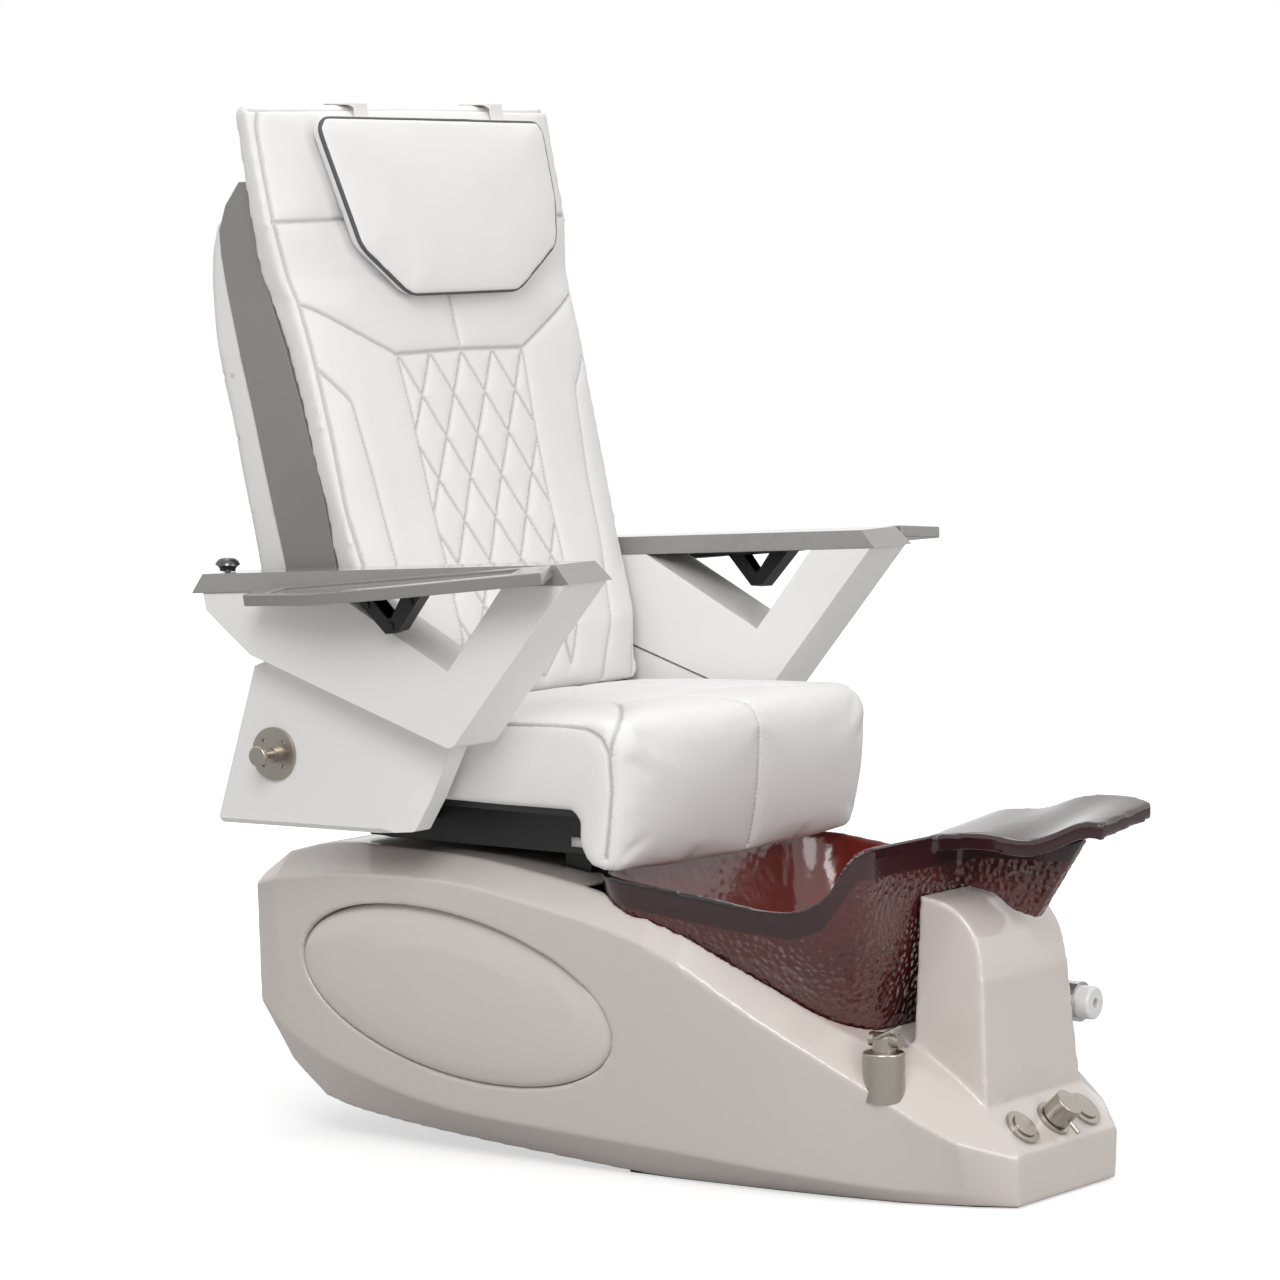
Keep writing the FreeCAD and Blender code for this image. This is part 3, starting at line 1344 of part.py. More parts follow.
def build_all():
    save("floor_pan", make_floor_pan())
    save("base_shell", make_base_shell())
    both("side_panel", make_oval_panel)
    save("seat_stand", make_seat_stand())
    save("slide_rails", Part.makeCompound([make_rail(side) for label, side in sides]))
    save("slide_actuator", make_slide_actuator())
    save("basin", make_basin())
    save("basin_drain", make_drain())
    save("drain_plug", make_drain_plug())
    save("drain_pipes", make_drain_pipes())
    save("drain_pump", make_drain_pump())
    save("jet_motor", make_jet_motor())
    save("jet_cover", make_jet_cover())
    save("jet_impeller", make_jet_impeller())
    save("faucet_body", make_faucet_body())
    save("faucet_lever", make_faucet_lever())
    save("sprayer_holder", make_sprayer_holder())
    save("sprayer_head", make_sprayer())
    save("temperature_knob", make_knob())
    bezels = [make_button_bezel(side * control_pitch) for label, side in sides]
    save("control_bezels", Part.makeCompound(bezels + [make_knob_bezel()]))
    save("button_right", make_button(-control_pitch))
    save("button_left", make_button(control_pitch))
    save("rear_plate", make_rear_plate())
    save("drain_outlet", make_stub(drain_outlet, outlet_radius))
    water = [make_stub(hot_inlet, inlet_radius), make_stub(cold_inlet, inlet_radius)]
    save("water_inlets", Part.makeCompound(water))
    save("power_inlet", make_power_inlet())
    save("power_box", make_power_box())
    save("slide_rod", make_slide_rod())
    save("slide_runners", Part.makeCompound([make_runner(side) for label, side in sides]))
    save("chassis_box", make_chassis())
    save("seat_frame", make_seat_frame())
    save("seat_cushion", make_seat_cushion())
    both("side_cover", make_side_cover)
    both("upright", make_upright)
    save("bag_hook", make_bag_hook())
    both("arm_shell", make_arm_shell)
    both("arm_top", make_arm_top)
    both("arm_knob", make_arm_knob)
    both("tray_bracket", make_tray_bracket)
    both("tray", make_tray)
    both("tray_hinge", make_tray_hinge)
    save("back_pad", make_back_pad())
    both("back_band", make_back_band)
    save("back_panel", make_back_panel())
    save("back_rear_shell", make_rear_shell())
    save("massage_rails", make_massage_rails())
    save("massage_carriage", make_massage_carriage())
    save("massage_rollers", make_massage_rollers())
    save("headrest_pillow", make_pillow())
    save("headrest_straps", make_straps())


build_all()
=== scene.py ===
# Pedicure spa chair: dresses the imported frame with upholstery, mouldings, glass and metal.
# Metres, with +X towards the foot end, +Y towards the sitter's left and +Z up.
import bpy
import bmesh
import json
import math
from mathutils import Matrix, Vector, noise
from mathutils.bvhtree import BVHTree
from mathutils.kdtree import KDTree


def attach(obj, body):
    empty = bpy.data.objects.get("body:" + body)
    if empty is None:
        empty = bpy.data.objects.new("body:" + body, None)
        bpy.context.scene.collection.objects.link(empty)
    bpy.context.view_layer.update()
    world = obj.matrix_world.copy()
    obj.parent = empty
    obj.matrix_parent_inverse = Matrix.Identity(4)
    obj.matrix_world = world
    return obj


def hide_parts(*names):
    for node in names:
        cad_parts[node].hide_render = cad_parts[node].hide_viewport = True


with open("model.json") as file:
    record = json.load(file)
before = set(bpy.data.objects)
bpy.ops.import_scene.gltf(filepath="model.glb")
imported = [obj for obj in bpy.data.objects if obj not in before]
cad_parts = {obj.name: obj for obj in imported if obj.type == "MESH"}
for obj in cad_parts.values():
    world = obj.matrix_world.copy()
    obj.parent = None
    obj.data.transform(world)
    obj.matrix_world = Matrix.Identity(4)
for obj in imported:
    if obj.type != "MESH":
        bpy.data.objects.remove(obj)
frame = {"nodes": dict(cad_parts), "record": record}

mm = 0.001
nodes = frame["nodes"]
bodies = frame["record"]["behaviour"]["bodies"]
bodyOfNode = {node: body for body, members in bodies.items() for node in members}
slotOfNode = {part["node"]: part["material_slot"] for part in frame["record"]["subparts"]}
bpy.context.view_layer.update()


def hexToLinear(code, alpha=1.0):
    channels = [int(code[i:i + 2], 16) / 255 for i in (1, 3, 5)]
    return tuple(c / 12.92 if c <= 0.04045 else ((c + 0.055) / 1.055) ** 2.4 for c in channels) + (alpha,)


def addNode(tree, kind, settings=None, inputs=None):
    node = tree.nodes.new(kind)
    for key, value in (settings or {}).items():
        setattr(node, key, value)
    for key, value in (inputs or {}).items():
        if isinstance(value, bpy.types.NodeSocket):
            tree.links.new(value, node.inputs[key])
        else:
            node.inputs[key].default_value = value
    return node


# Sizes in millimetres turn into texture scales in one place.
def perMetre(sizeMm):
    return 1000.0 / sizeMm


# Share of painted shade in the seams, and over how many millimetres the glass's bands and hammering set in.
shading = {"paintedSeamShadeShare": 0.75, "bandFadeMm": 1.5, "hammerFadeMm": 3}


def makeFinish(name, facts):
    material = bpy.data.materials.new(name)
    material.use_nodes = True
    tree = material.node_tree
    tree.nodes.clear()
    place = addNode(tree, "ShaderNodeTexCoord")
    # Slow drift between two close tones, as any moulded, dyed or sprayed surface has.
    drift = addNode(tree, "ShaderNodeTexNoise", None,
                    {"Vector": place.outputs["Object"], "Scale": perMetre(facts["driftMm"]), "Detail": 3.0})
    tone = addNode(tree, "ShaderNodeMix", {"data_type": "RGBA"},
                   {0: drift.outputs["Fac"], 6: hexToLinear(facts["colour"]), 7: hexToLinear(facts["tone"])})
    colour = tone.outputs[2]
    if "paintedSeamShade" in facts:
        # Painted shade darkens the seams: the sewn valleys carry their depth in an attribute.
        valley = addNode(tree, "ShaderNodeAttribute", {"attribute_name": "paintedSeamShade"})
        share = addNode(tree, "ShaderNodeMath", {"operation": "MULTIPLY"},
                        {0: valley.outputs["Fac"], 1: shading["paintedSeamShadeShare"]})
        shaded = addNode(tree, "ShaderNodeMix", {"data_type": "RGBA"},
                         {0: share.outputs[0], 6: colour, 7: hexToLinear(facts["paintedSeamShade"])})
        colour = shaded.outputs[2]
    hammerShare = facts.get("hammerStrength", 0.0)
    if "bands" in facts:
        # Bands below the lip, by the drop from the rim in millimetres.
        drop = addNode(tree, "ShaderNodeAttribute", {"attribute_name": "lipDrop"})
        for limit, code in facts["bands"]:
            inside = addNode(tree, "ShaderNodeMapRange", None,
                             {"Value": drop.outputs["Fac"], "From Min": limit,
                              "From Max": limit + shading["bandFadeMm"], "To Min": 1.0, "To Max": 0.0})
            banded = addNode(tree, "ShaderNodeMix", {"data_type": "RGBA"},
                             {0: inside.outputs[0], 6: colour, 7: hexToLinear(code)})
            colour = banded.outputs[2]
        plainTo = facts["bands"][0][0]
        rough = addNode(tree, "ShaderNodeMapRange", None,
                        {"Value": drop.outputs["Fac"], "From Min": plainTo,
                         "From Max": plainTo + shading["hammerFadeMm"],
                         "To Min": 0.0, "To Max": facts["hammerStrength"]})
        hammerShare = rough.outputs[0]
    low, high = facts["roughness"]
    gloss = addNode(tree, "ShaderNodeMapRange", None,
                    {"Value": drift.outputs["Fac"], "From Min": 0.3, "From Max": 0.7,
                     "To Min": low, "To Max": high})
    turned = addNode(tree, "ShaderNodeMapping", None,
                     {"Vector": place.outputs["Object"], "Scale": facts.get("stretch", (1.0, 1.0, 1.0))})
    if facts["grain"] == "pebble":
        grain = addNode(tree, "ShaderNodeTexVoronoi", {"feature": "SMOOTH_F1"},
                        {"Vector": turned.outputs[0], "Scale": perMetre(facts["grainMm"]),
                         "Smoothness": 0.35})
        height = grain.outputs["Distance"]
    else:
        grain = addNode(tree, "ShaderNodeTexNoise", None,
                        {"Vector": turned.outputs[0], "Scale": perMetre(facts["grainMm"]), "Detail": 4.0})
        height = grain.outputs["Fac"]
    bump = addNode(tree, "ShaderNodeBump", None,
                   {"Height": height, "Strength": facts["grainStrength"],
                    "Distance": facts["grainDepthMm"] * mm})
    if "hammerMm" in facts:
        # Dents of the hammered glass, wider than the fine grain.
        dents = addNode(tree, "ShaderNodeTexVoronoi", {"feature": "SMOOTH_F1"},
                        {"Vector": place.outputs["Object"], "Scale": perMetre(facts["hammerMm"]),
                         "Smoothness": 0.6})
        bump = addNode(tree, "ShaderNodeBump", None,
                       {"Height": dents.outputs["Distance"], "Strength": hammerShare,
                        "Distance": facts["hammerDepthMm"] * mm, "Normal": bump.outputs[0]})
    shader = addNode(tree, "ShaderNodeBsdfPrincipled", None,
                     {"Base Color": colour, "Roughness": gloss.outputs[0], "Normal": bump.outputs[0],
                      "Metallic": facts.get("metallic", 0.0)})
    if "hammerMm" in facts:
        tree.links.new(bump.outputs[0], shader.inputs["Coat Normal"])
    for socket, value in facts.get("sockets", {}).items():
        shader.inputs[socket].default_value = value
    addNode(tree, "ShaderNodeOutputMaterial", None, {"Surface": shader.outputs[0]})
    return material


finishes = {
    # Corrected-grain upholstery leather: soft sheen, fine pebble drawn at about twice its real size.
    # Grey painted shade for the seams.
    "whiteLeather": {"colour": "#ebeae9", "tone": "#e5e4e3", "paintedSeamShade": "#b5b2af",
                     "driftMm": 90, "roughness": (0.46, 0.56),
                     "grain": "pebble", "grainMm": 2.2, "grainStrength": 0.35, "grainDepthMm": 0.25,
                     "sockets": {"IOR": 1.5, "Specular IOR Level": 0.4}},
    # Polyester upholstery thread, bonded: smooth, a little brighter than the leather.
    "whiteThread": {"colour": "#f7f6f4", "tone": "#eceae6", "driftMm": 12, "roughness": (0.5, 0.65),
                    "grain": "noise", "grainMm": 0.6, "grainStrength": 0.3, "grainDepthMm": 0.05,
                    "sockets": {"IOR": 1.54}},
    # Piping of grey coated cloth round the pillow: dull, with a fine weave.
    "greyPiping": {"colour": "#55565a", "tone": "#4a4b4f", "driftMm": 30, "roughness": (0.5, 0.65),
                   "grain": "pebble", "grainMm": 1.2, "grainStrength": 0.4, "grainDepthMm": 0.15,
                   "sockets": {"IOR": 1.5}},
    # Sprayed glass fibre with mica in its clear coat: warm pearl white under a wet gloss.
    "pearlGelcoat": {"colour": "#d6cdc7", "tone": "#d0c6c0", "driftMm": 1.6, "roughness": (0.30, 0.42),
                     "grain": "noise", "grainMm": 9, "grainStrength": 0.12, "grainDepthMm": 0.12,
                     "sockets": {"IOR": 1.5, "Coat Weight": 0.85, "Coat Roughness": 0.12}},
    # Injection-moulded ABS, painted satin white.
    "satinWhiteAbs": {"colour": "#f0efed", "tone": "#ebeae8", "driftMm": 160, "roughness": (0.34, 0.42),
                      "grain": "noise", "grainMm": 1.4, "grainStrength": 0.12, "grainDepthMm": 0.06,
                      "sockets": {"IOR": 1.53}},
    # Rear cover in white coated cloth over a moulding: duller than the leather.
    # Grey painted shade for the seams.
    "whiteRearCover": {"colour": "#e9e8e7", "tone": "#e3e2e1", "paintedSeamShade": "#a9a8a6",
                       "driftMm": 140, "roughness": (0.5, 0.6),
                       "grain": "pebble", "grainMm": 2.0, "grainStrength": 0.25, "grainDepthMm": 0.15,
                       "sockets": {"IOR": 1.5}},
    # Two-pack gloss lacquer on moulded boards: warm grey with an even clear coat.
    "greyLacquer": {"colour": "#8e8c8a", "tone": "#888684", "driftMm": 120, "roughness": (0.22, 0.3),
                    "grain": "noise", "grainMm": 5, "grainStrength": 0.06, "grainDepthMm": 0.04,
                    "sockets": {"IOR": 1.5, "Coat Weight": 0.9, "Coat Roughness": 0.06}},
    # Side frames of the back in grey vinyl skin: flat sheen.
    "greyVinyl": {"colour": "#8d8b89", "tone": "#868482", "driftMm": 110, "roughness": (0.48, 0.58),
                  "grain": "pebble", "grainMm": 1.8, "grainStrength": 0.3, "grainDepthMm": 0.12,
                  "sockets": {"IOR": 1.52}},
    # Slumped plum glass: polished edge and tread, deep wine colour.
    "plumGlassPolished": {"colour": "#2b0d12", "tone": "#351118", "driftMm": 70, "roughness": (0.04, 0.09),
                          "grain": "noise", "grainMm": 30, "grainStrength": 0.15, "grainDepthMm": 0.4,
                          "sockets": {"IOR": 1.52, "Coat Weight": 0.5, "Coat Roughness": 0.03}},
    # The same glass where the mould left a hammered skin: broken glints.
    "plumGlassHammered": {"colour": "#431a1a", "tone": "#5a2420", "driftMm": 40,
                          "bands": ((35, "#331016"), (7, "#120608")), "roughness": (0.14, 0.24),
                          "grain": "noise", "grainMm": 4, "grainStrength": 0.35, "grainDepthMm": 0.5,
                          "hammerMm": 9, "hammerStrength": 1.0, "hammerDepthMm": 3.2,
                          "sockets": {"IOR": 1.52, "Coat Weight": 0.6, "Coat Roughness": 0.08}},
    # Inside of the bowl, where light comes through the wall: red brown.
    "plumGlassInside": {"colour": "#6f2a22", "tone": "#80332a", "driftMm": 50, "roughness": (0.12, 0.2),
                        "grain": "noise", "grainMm": 8, "grainStrength": 0.3, "grainDepthMm": 0.6,
                        "hammerMm": 16, "hammerStrength": 0.4, "hammerDepthMm": 1.4,
                        "sockets": {"IOR": 1.52, "Coat Weight": 0.6, "Coat Roughness": 0.06}},
    # Polyester powder coat on folded steel: black, with a slight orange peel.
    "blackPowderCoat": {"colour": "#151516", "tone": "#1b1b1d", "driftMm": 80, "roughness": (0.35, 0.48),
                        "grain": "noise", "grainMm": 1.2, "grainStrength": 0.25, "grainDepthMm": 0.08,
                        "sockets": {"IOR": 1.5}},
    # Brushed nickel plate: fine lines round or along the fitting, soft highlights.
    "brushedNickel": {"colour": "#b9b2a8", "tone": "#a9a299", "driftMm": 25, "roughness": (0.24, 0.36),
                      "metallic": 1.0, "grain": "noise", "grainMm": 1.0, "grainStrength": 0.25,
                      "grainDepthMm": 0.05, "stretch": (0.12, 1.0, 1.0)},
    # Bright chrome plate: near mirror.
    "brightChrome": {"colour": "#d3d4d6", "tone": "#c8c9cc", "driftMm": 40, "roughness": (0.07, 0.13),
                     "metallic": 1.0, "grain": "noise", "grainMm": 12, "grainStrength": 0.05,
                     "grainDepthMm": 0.03},
    # Black chrome on the arm knobs: dark mirror.
    "blackChrome": {"colour": "#6c6b6d", "tone": "#59585a", "driftMm": 20, "roughness": (0.12, 0.2),
                    "metallic": 1.0, "grain": "noise", "grainMm": 8, "grainStrength": 0.05,
                    "grainDepthMm": 0.03},
    # Ground steel rails and shafts.
    "groundSteel": {"colour": "#a3a4a6", "tone": "#929396", "driftMm": 18, "roughness": (0.28, 0.4),
                    "metallic": 1.0, "grain": "noise", "grainMm": 0.9, "grainStrength": 0.3,
                    "grainDepthMm": 0.04, "stretch": (0.1, 1.0, 1.0)},
    # Moulded black ABS: satin, with a spark-eroded grain.
    "blackAbs": {"colour": "#1c1c1e", "tone": "#232325", "driftMm": 60, "roughness": (0.42, 0.55),
                 "grain": "pebble", "grainMm": 1.0, "grainStrength": 0.35, "grainDepthMm": 0.08,
                 "sockets": {"IOR": 1.53}},
    # Extruded grey PVC drain pipe.
    "greyPvcPipe": {"colour": "#8a8c90", "tone": "#7f8185", "driftMm": 70, "roughness": (0.35, 0.45),
                    "grain": "noise", "grainMm": 3, "grainStrength": 0.15, "grainDepthMm": 0.08,
                    "sockets": {"IOR": 1.53}},
    # Moulded white ABS with a plain gloss, as on the hand sprayer.
    "glossWhiteAbs": {"colour": "#e6e5e3", "tone": "#dfdedc", "driftMm": 40, "roughness": (0.2, 0.28),
                      "grain": "noise", "grainMm": 6, "grainStrength": 0.06, "grainDepthMm": 0.04,
                      "sockets": {"IOR": 1.53, "Coat Weight": 0.3, "Coat Roughness": 0.1}},
}
materials = {name: makeFinish(name, facts) for name, facts in finishes.items()}
print("finishes made:", len(materials))

slotFinish = {
    "pearl_shell": "pearlGelcoat", "white_plastic": "satinWhiteAbs", "grey_gloss": "greyLacquer",
    "grey_band": "greyVinyl", "white_leather": "whiteLeather", "white_shell": "whiteRearCover",
    "plum_glass": "plumGlassPolished", "black_steel": "blackPowderCoat", "nickel": "brushedNickel",
    "chrome": "brightChrome", "dark_chrome": "blackChrome", "steel": "groundSteel",
    "black_plastic": "blackAbs", "grey_pvc": "greyPvcPipe", "white_matte": "glossWhiteAbs",
}


def nodeMaterial(node):
    return materials[slotFinish[slotOfNode[node]]]


# The frame's own meshes keep their shape and get the finish of their slot.
for nodeName, nodeObject in nodes.items():
    nodeObject.data.materials.clear()
    nodeObject.data.materials.append(nodeMaterial(nodeName))


def copyOfNode(node):
    work = bmesh.new()
    work.from_mesh(nodes[node].data)
    bmesh.ops.remove_doubles(work, verts=work.verts[:], dist=0.02 * mm)
    return work


def makePiece(work, name, material):
    mesh = bpy.data.meshes.new(name)
    work.to_mesh(mesh)
    work.free()
    mesh.materials.append(material)
    piece = bpy.data.objects.new(name, mesh)
    bpy.context.scene.collection.objects.link(piece)
    mesh.shade_smooth()
    return piece


def standIn(piece, *replaced):
    first = replaced[0]
    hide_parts(*replaced)
    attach(piece, bodyOfNode[first])
    return piece


def bakeModifiers(piece):
    graph = bpy.context.evaluated_depsgraph_get()
    baked = bpy.data.meshes.new_from_object(piece.evaluated_get(graph))
    old = piece.data
    name = old.name
    piece.modifiers.clear()
    piece.data = baked
    bpy.data.meshes.remove(old)
    baked.name = name
    return piece


def camelName(node):
    words = node.split("_")
    return words[0] + "".join(word.capitalize() for word in words[1:])


# Moulded and folded parts: the frame's shape with its edges broken, width in millimetres.
edgeBreaks = {
    "side_cover_right": 2.5, "side_cover_left": 2.5, "arm_shell_right": 3.0, "arm_shell_left": 3.0,
    "arm_top_right": 1.6, "arm_top_left": 1.6, "tray_right": 1.6, "tray_left": 1.6,
    "tray_hinge_right": 0.4, "tray_hinge_left": 0.4, "tray_bracket_right": 0.6, "tray_bracket_left": 0.6,
    "upright_right": 0.8, "upright_left": 0.8, "chassis_box": 1.5, "slide_runners": 1.0, "bag_hook": 0.5,
    "faucet_body": 0.6, "faucet_lever": 0.5, "temperature_knob": 0.5, "control_bezels": 0.6,
    "button_right": 0.5, "button_left": 0.5, "sprayer_head": 0.8, "sprayer_holder": 0.6,
    "rear_plate": 0.8, "drain_outlet": 0.5, "water_inlets": 0.5, "jet_cover": 0.8,
    "basin_drain": 0.5, "drain_plug": 0.5, "floor_pan": 1.5, "seat_stand": 1.0,
    "back_band_right": 3.0, "back_band_left": 3.0, "back_panel": 2.0, "power_inlet": 0.5,
}


def breakEdges(node, width):
    work = copyOfNode(node)
    bmesh.ops.dissolve_limit(work, angle_limit=math.radians(0.5), verts=work.verts[:], edges=work.edges[:])
    piece = makePiece(work, camelName(node), nodeMaterial(node))
    bevel = piece.modifiers.new("brokenEdges", "BEVEL")
    bevel.width = width * mm
    bevel.segments = 3
    bevel.limit_method = "ANGLE"
    bevel.angle_limit = math.radians(33)
    bevel.harden_normals = True
    even = piece.modifiers.new("evenShading", "WEIGHTED_NORMAL")
    even.keep_sharp = True
    return standIn(piece, node)


pieces = {node: breakEdges(node, width) for node, width in edgeBreaks.items()}
print("edges broken on", len(pieces), "parts")


# Glass fibre base: the frame's shell with the moulding's soft corners.
baseShell = {"voxelMm": 2.8, "smoothTimes": 9, "smoothFactor": 0.5, "keepShare": 0.2,
             "backingMm": 5.0, "backingX": -0.45, "backingFacing": 0.6}


def moulded(node, facts, name):
    work = copyOfNode(node)
    if "backingMm" in facts:
        # The rear wall thins out towards its corners, so it is backed from inside before the remesh.
        rear = [face for face in work.faces
                if face.normal.x > facts["backingFacing"] and face.calc_center_median().x < facts["backingX"]]
        inner = {v for face in rear for v in face.verts}
        bmesh.ops.translate(work, verts=list(inner), vec=(facts["backingMm"] * mm, 0, 0))
        print("rear wall backed at", len(inner), "points")
    piece = makePiece(work, name, nodeMaterial(node))
    remesh = piece.modifiers.new("remesh", "REMESH")
    remesh.mode = "VOXEL"
    remesh.voxel_size = facts["voxelMm"] * mm
    smooth = piece.modifiers.new("softCorners", "SMOOTH")
    smooth.factor = facts["smoothFactor"]
    smooth.iterations = facts["smoothTimes"]
    if facts["keepShare"] < 1:
        fewer = piece.modifiers.new("fewerFaces", "DECIMATE")
        fewer.ratio = facts["keepShare"]
    bakeModifiers(piece)
    piece.data.shade_smooth()
    return piece


shellPiece = standIn(moulded("base_shell", baseShell, "baseMoulding"), "base_shell")
print("base moulding:", len(shellPiece.data.polygons), "faces")

sidePanel = {"voxelMm": 3.0, "smoothTimes": 8, "smoothFactor": 0.5, "keepShare": 0.6}
for side in ("right", "left"):
    standIn(moulded("side_panel_" + side, sidePanel, "ovalPanel" + side.capitalize()), "side_panel_" + side)

# Glass bowl: polished lip and tread, hammered outside, red brown inside.
glassBowl = {"voxelMm": 3.0, "smoothTimes": 5, "smoothFactor": 0.5, "keepShare": 0.5,
             "rim": [(0.02, 0.392), (0.15, 0.376), (0.262, 0.364), (0.352, 0.360), (0.392, 0.376),
                     (0.412, 0.401), (0.431, 0.435), (0.46, 0.443), (0.70, 0.450)],
             "treadStartX": 0.428, "treadAboveZ": 0.425, "floorBelowZ": 0.135, "middle": (0.25, 0.0)}


def heightAlong(points, x):
    for (x0, z0), (x1, z1) in zip(points, points[1:]):
        if x <= x1:
            return z0 + (z1 - z0) * (max(x, x0) - x0) / (x1 - x0)
    return points[-1][1]


bowlPiece = moulded("basin", glassBowl, "glassBowl")
bowlPiece.data.materials.append(materials["plumGlassHammered"])
bowlPiece.data.materials.append(materials["plumGlassInside"])
lipDrop = bowlPiece.data.attributes.new("lipDrop", "FLOAT", "POINT")
drops = [(heightAlong(glassBowl["rim"], v.co.x) - v.co.z) / mm for v in bowlPiece.data.vertices]
lipDrop.data.foreach_set("value", drops)
middleX, middleY = glassBowl["middle"]
for face in bowlPiece.data.polygons:
    c = face.center
    inward = face.normal.x * (middleX - c.x) + face.normal.y * (middleY - c.y) > 0
    if c.x > glassBowl["treadStartX"] and c.z > glassBowl["treadAboveZ"]:
        face.material_index = 0
    elif inward and c.x < glassBowl["treadStartX"] or c.z < glassBowl["floorBelowZ"] and face.normal.z > 0.5:
        face.material_index = 2
    else:
        face.material_index = 1
standIn(bowlPiece, "basin")
print("glass bowl:", len(bowlPiece.data.polygons), "faces")


# Upholstery. Lines are sampled every few millimetres, laid on the skin and sewn in.
sewing = {"grooveMm": 4.5, "valleyWidthMm": 20.0, "finerAsideMm": 3.0, "evenNearMm": 12, "easeTimes": 12,
          "stitchLengthMm": 4.6, "stitchPitchMm": 6.6, "stitchRadiusMm": 0.55}


def resample(points, step):
    out = []
    for a, b in zip(points, points[1:]):
        a, b = Vector(a), Vector(b)
        count = max(1, int((b - a).length / step))
        out += [a.lerp(b, i / count) for i in range(count)]
    out.append(Vector(points[-1]))
    return out


def skinTree(piece):
    mesh = piece.data
    return BVHTree.FromPolygons([v.co for v in mesh.vertices], [p.vertices for p in mesh.polygons])


def layOnSkin(tree, points):
    return [tree.find_nearest(point)[0] for point in points]


def eased(line, times):
    # Evens out the small jumps of a line that was laid on a rough skin, and keeps its ends.
    for turn in range(times):
        middle = [(line[i - 1] + line[i] * 2 + line[i + 1]) / 4 for i in range(1, len(line) - 1)]
        line = line[:1] + middle + line[-1:]
    return line


def pointFinder(lines):
    points = [point for line in lines for point in line]
    finder = KDTree(len(points))
    for index, point in enumerate(points):
        finder.insert(point, index)
    finder.balance()
    return finder


# The pressure acts over some steps. Points close to a seam are held, and the rest gets its full swell early.
filling = {"steps": 20, "quality": 4, "mass": 0.3, "bending": 2.0, "holdBelow": 0.75, "freeGain": 1.3}


def puff(piece, facts, seamPoints):
    # The skin swells under pressure and is held where it is sewn or backed.
    remesh = piece.modifiers.new("remesh", "REMESH")
    remesh.mode = "VOXEL"
    remesh.voxel_size = facts["voxelMm"] * mm
    bakeModifiers(piece)
    mesh = piece.data
    finder = pointFinder([seamPoints])
    rest = [v.co.copy() for v in mesh.vertices]
    held = piece.vertex_groups.new(name="held")
    backed = facts["backed"]
    share = []
    for v in mesh.vertices:
        near = finder.find(v.co)[2]
        free = 0.0 if backed(v) else min(1.0, near / (facts["holdMm"] * mm))
        share.append(free)
        if free < filling["holdBelow"]:
            held.add([v.index], 1.0, "REPLACE")
    cloth = piece.modifiers.new("fill", "CLOTH")
    cloth.settings.quality = filling["quality"]
    cloth.settings.mass = filling["mass"]
    cloth.settings.use_pressure = True
    cloth.settings.uniform_pressure_force = facts["pressure"]
    cloth.settings.effector_weights.gravity = 0.0
    cloth.settings.vertex_group_mass = "held"
    cloth.settings.tension_stiffness = facts["stiffness"]
    cloth.settings.compression_stiffness = facts["stiffness"]
    cloth.settings.bending_stiffness = filling["bending"]
    cloth.collision_settings.use_collision = False
    cloth.point_cache.frame_start = 1
    cloth.point_cache.frame_end = filling["steps"]
    for step in range(1, filling["steps"] + 1):
        bpy.context.scene.frame_set(step)
    bakeModifiers(piece)
    bpy.context.scene.frame_set(1)
    cap = facts["capMm"] * mm
    for v, start, free in zip(piece.data.vertices, rest, share):
        move = v.co - start
        if move.length > cap:
            move = move.normalized() * cap
        v.co = start + move * min(1.0, free * filling["freeGain"])
    piece.modifiers.new("finer", "SUBSURF").levels = 1
    piece.modifiers["finer"].render_levels = 1
    bakeModifiers(piece)
    return piece


def splitNear(piece, finder, reachMm):
    # Shorter edges where a seam passes, so that its valley is drawn crisply.
    work = bmesh.new()
    work.from_mesh(piece.data)
    close = [e for e in work.edges if finder.find((e.verts[0].co + e.verts[1].co) / 2)[2] < reachMm * mm]
    bmesh.ops.subdivide_edges(work, edges=close, cuts=1, use_grid_fill=True)
    work.to_mesh(piece.data)
    work.free()


def sew(piece, lines, depthMm, unevenMm, unevenSizeMm, valleyMm=0.0):
    # Presses a narrow valley along every line, in a wider one, and leaves the skin slightly uneven.
    finder = pointFinder(lines)
    splitNear(piece, finder, sewing["grooveMm"] + sewing["finerAsideMm"])
    width = sewing["grooveMm"] * mm
    wide = sewing["valleyWidthMm"] * mm
    even = sewing["evenNearMm"] * mm
    # The depth in the narrow valley is stored for the painted shade of the seams.
    paintedSeamShade = piece.data.attributes.new("paintedSeamShade", "FLOAT", "POINT")
    shade = []
    normals = [v.normal.copy() for v in piece.data.vertices]
    for v, normal in zip(piece.data.vertices, normals):
        away = finder.find(v.co)[2]
        move = noise.noise(v.co * perMetre(unevenSizeMm)) * unevenMm * mm * min(1.0, away / even)
        if away < wide:
            move -= valleyMm * mm * (1 - away / wide) ** 2
        near = max(0.0, 1 - (away / width) ** 2)
        move -= depthMm * mm * near ** 2
        shade.append(near ** 2)
        v.co += normal * move
    paintedSeamShade.data.foreach_set("value", shade)
    piece.data.update()
    piece.data.shade_smooth()


def offsetLine(tree, line, sideMm):
    # The same line, moved along the skin to one side of the seam.
    out = []
    for index, point in enumerate(line):
        ahead = line[min(index + 1, len(line) - 1)]
        behind = line[max(index - 1, 0)]
        direction = (ahead - behind).normalized()
        normal = tree.find_nearest(point)[1]
        out.append(tree.find_nearest(point + direction.cross(normal).normalized() * sideMm * mm)[0])
    return out


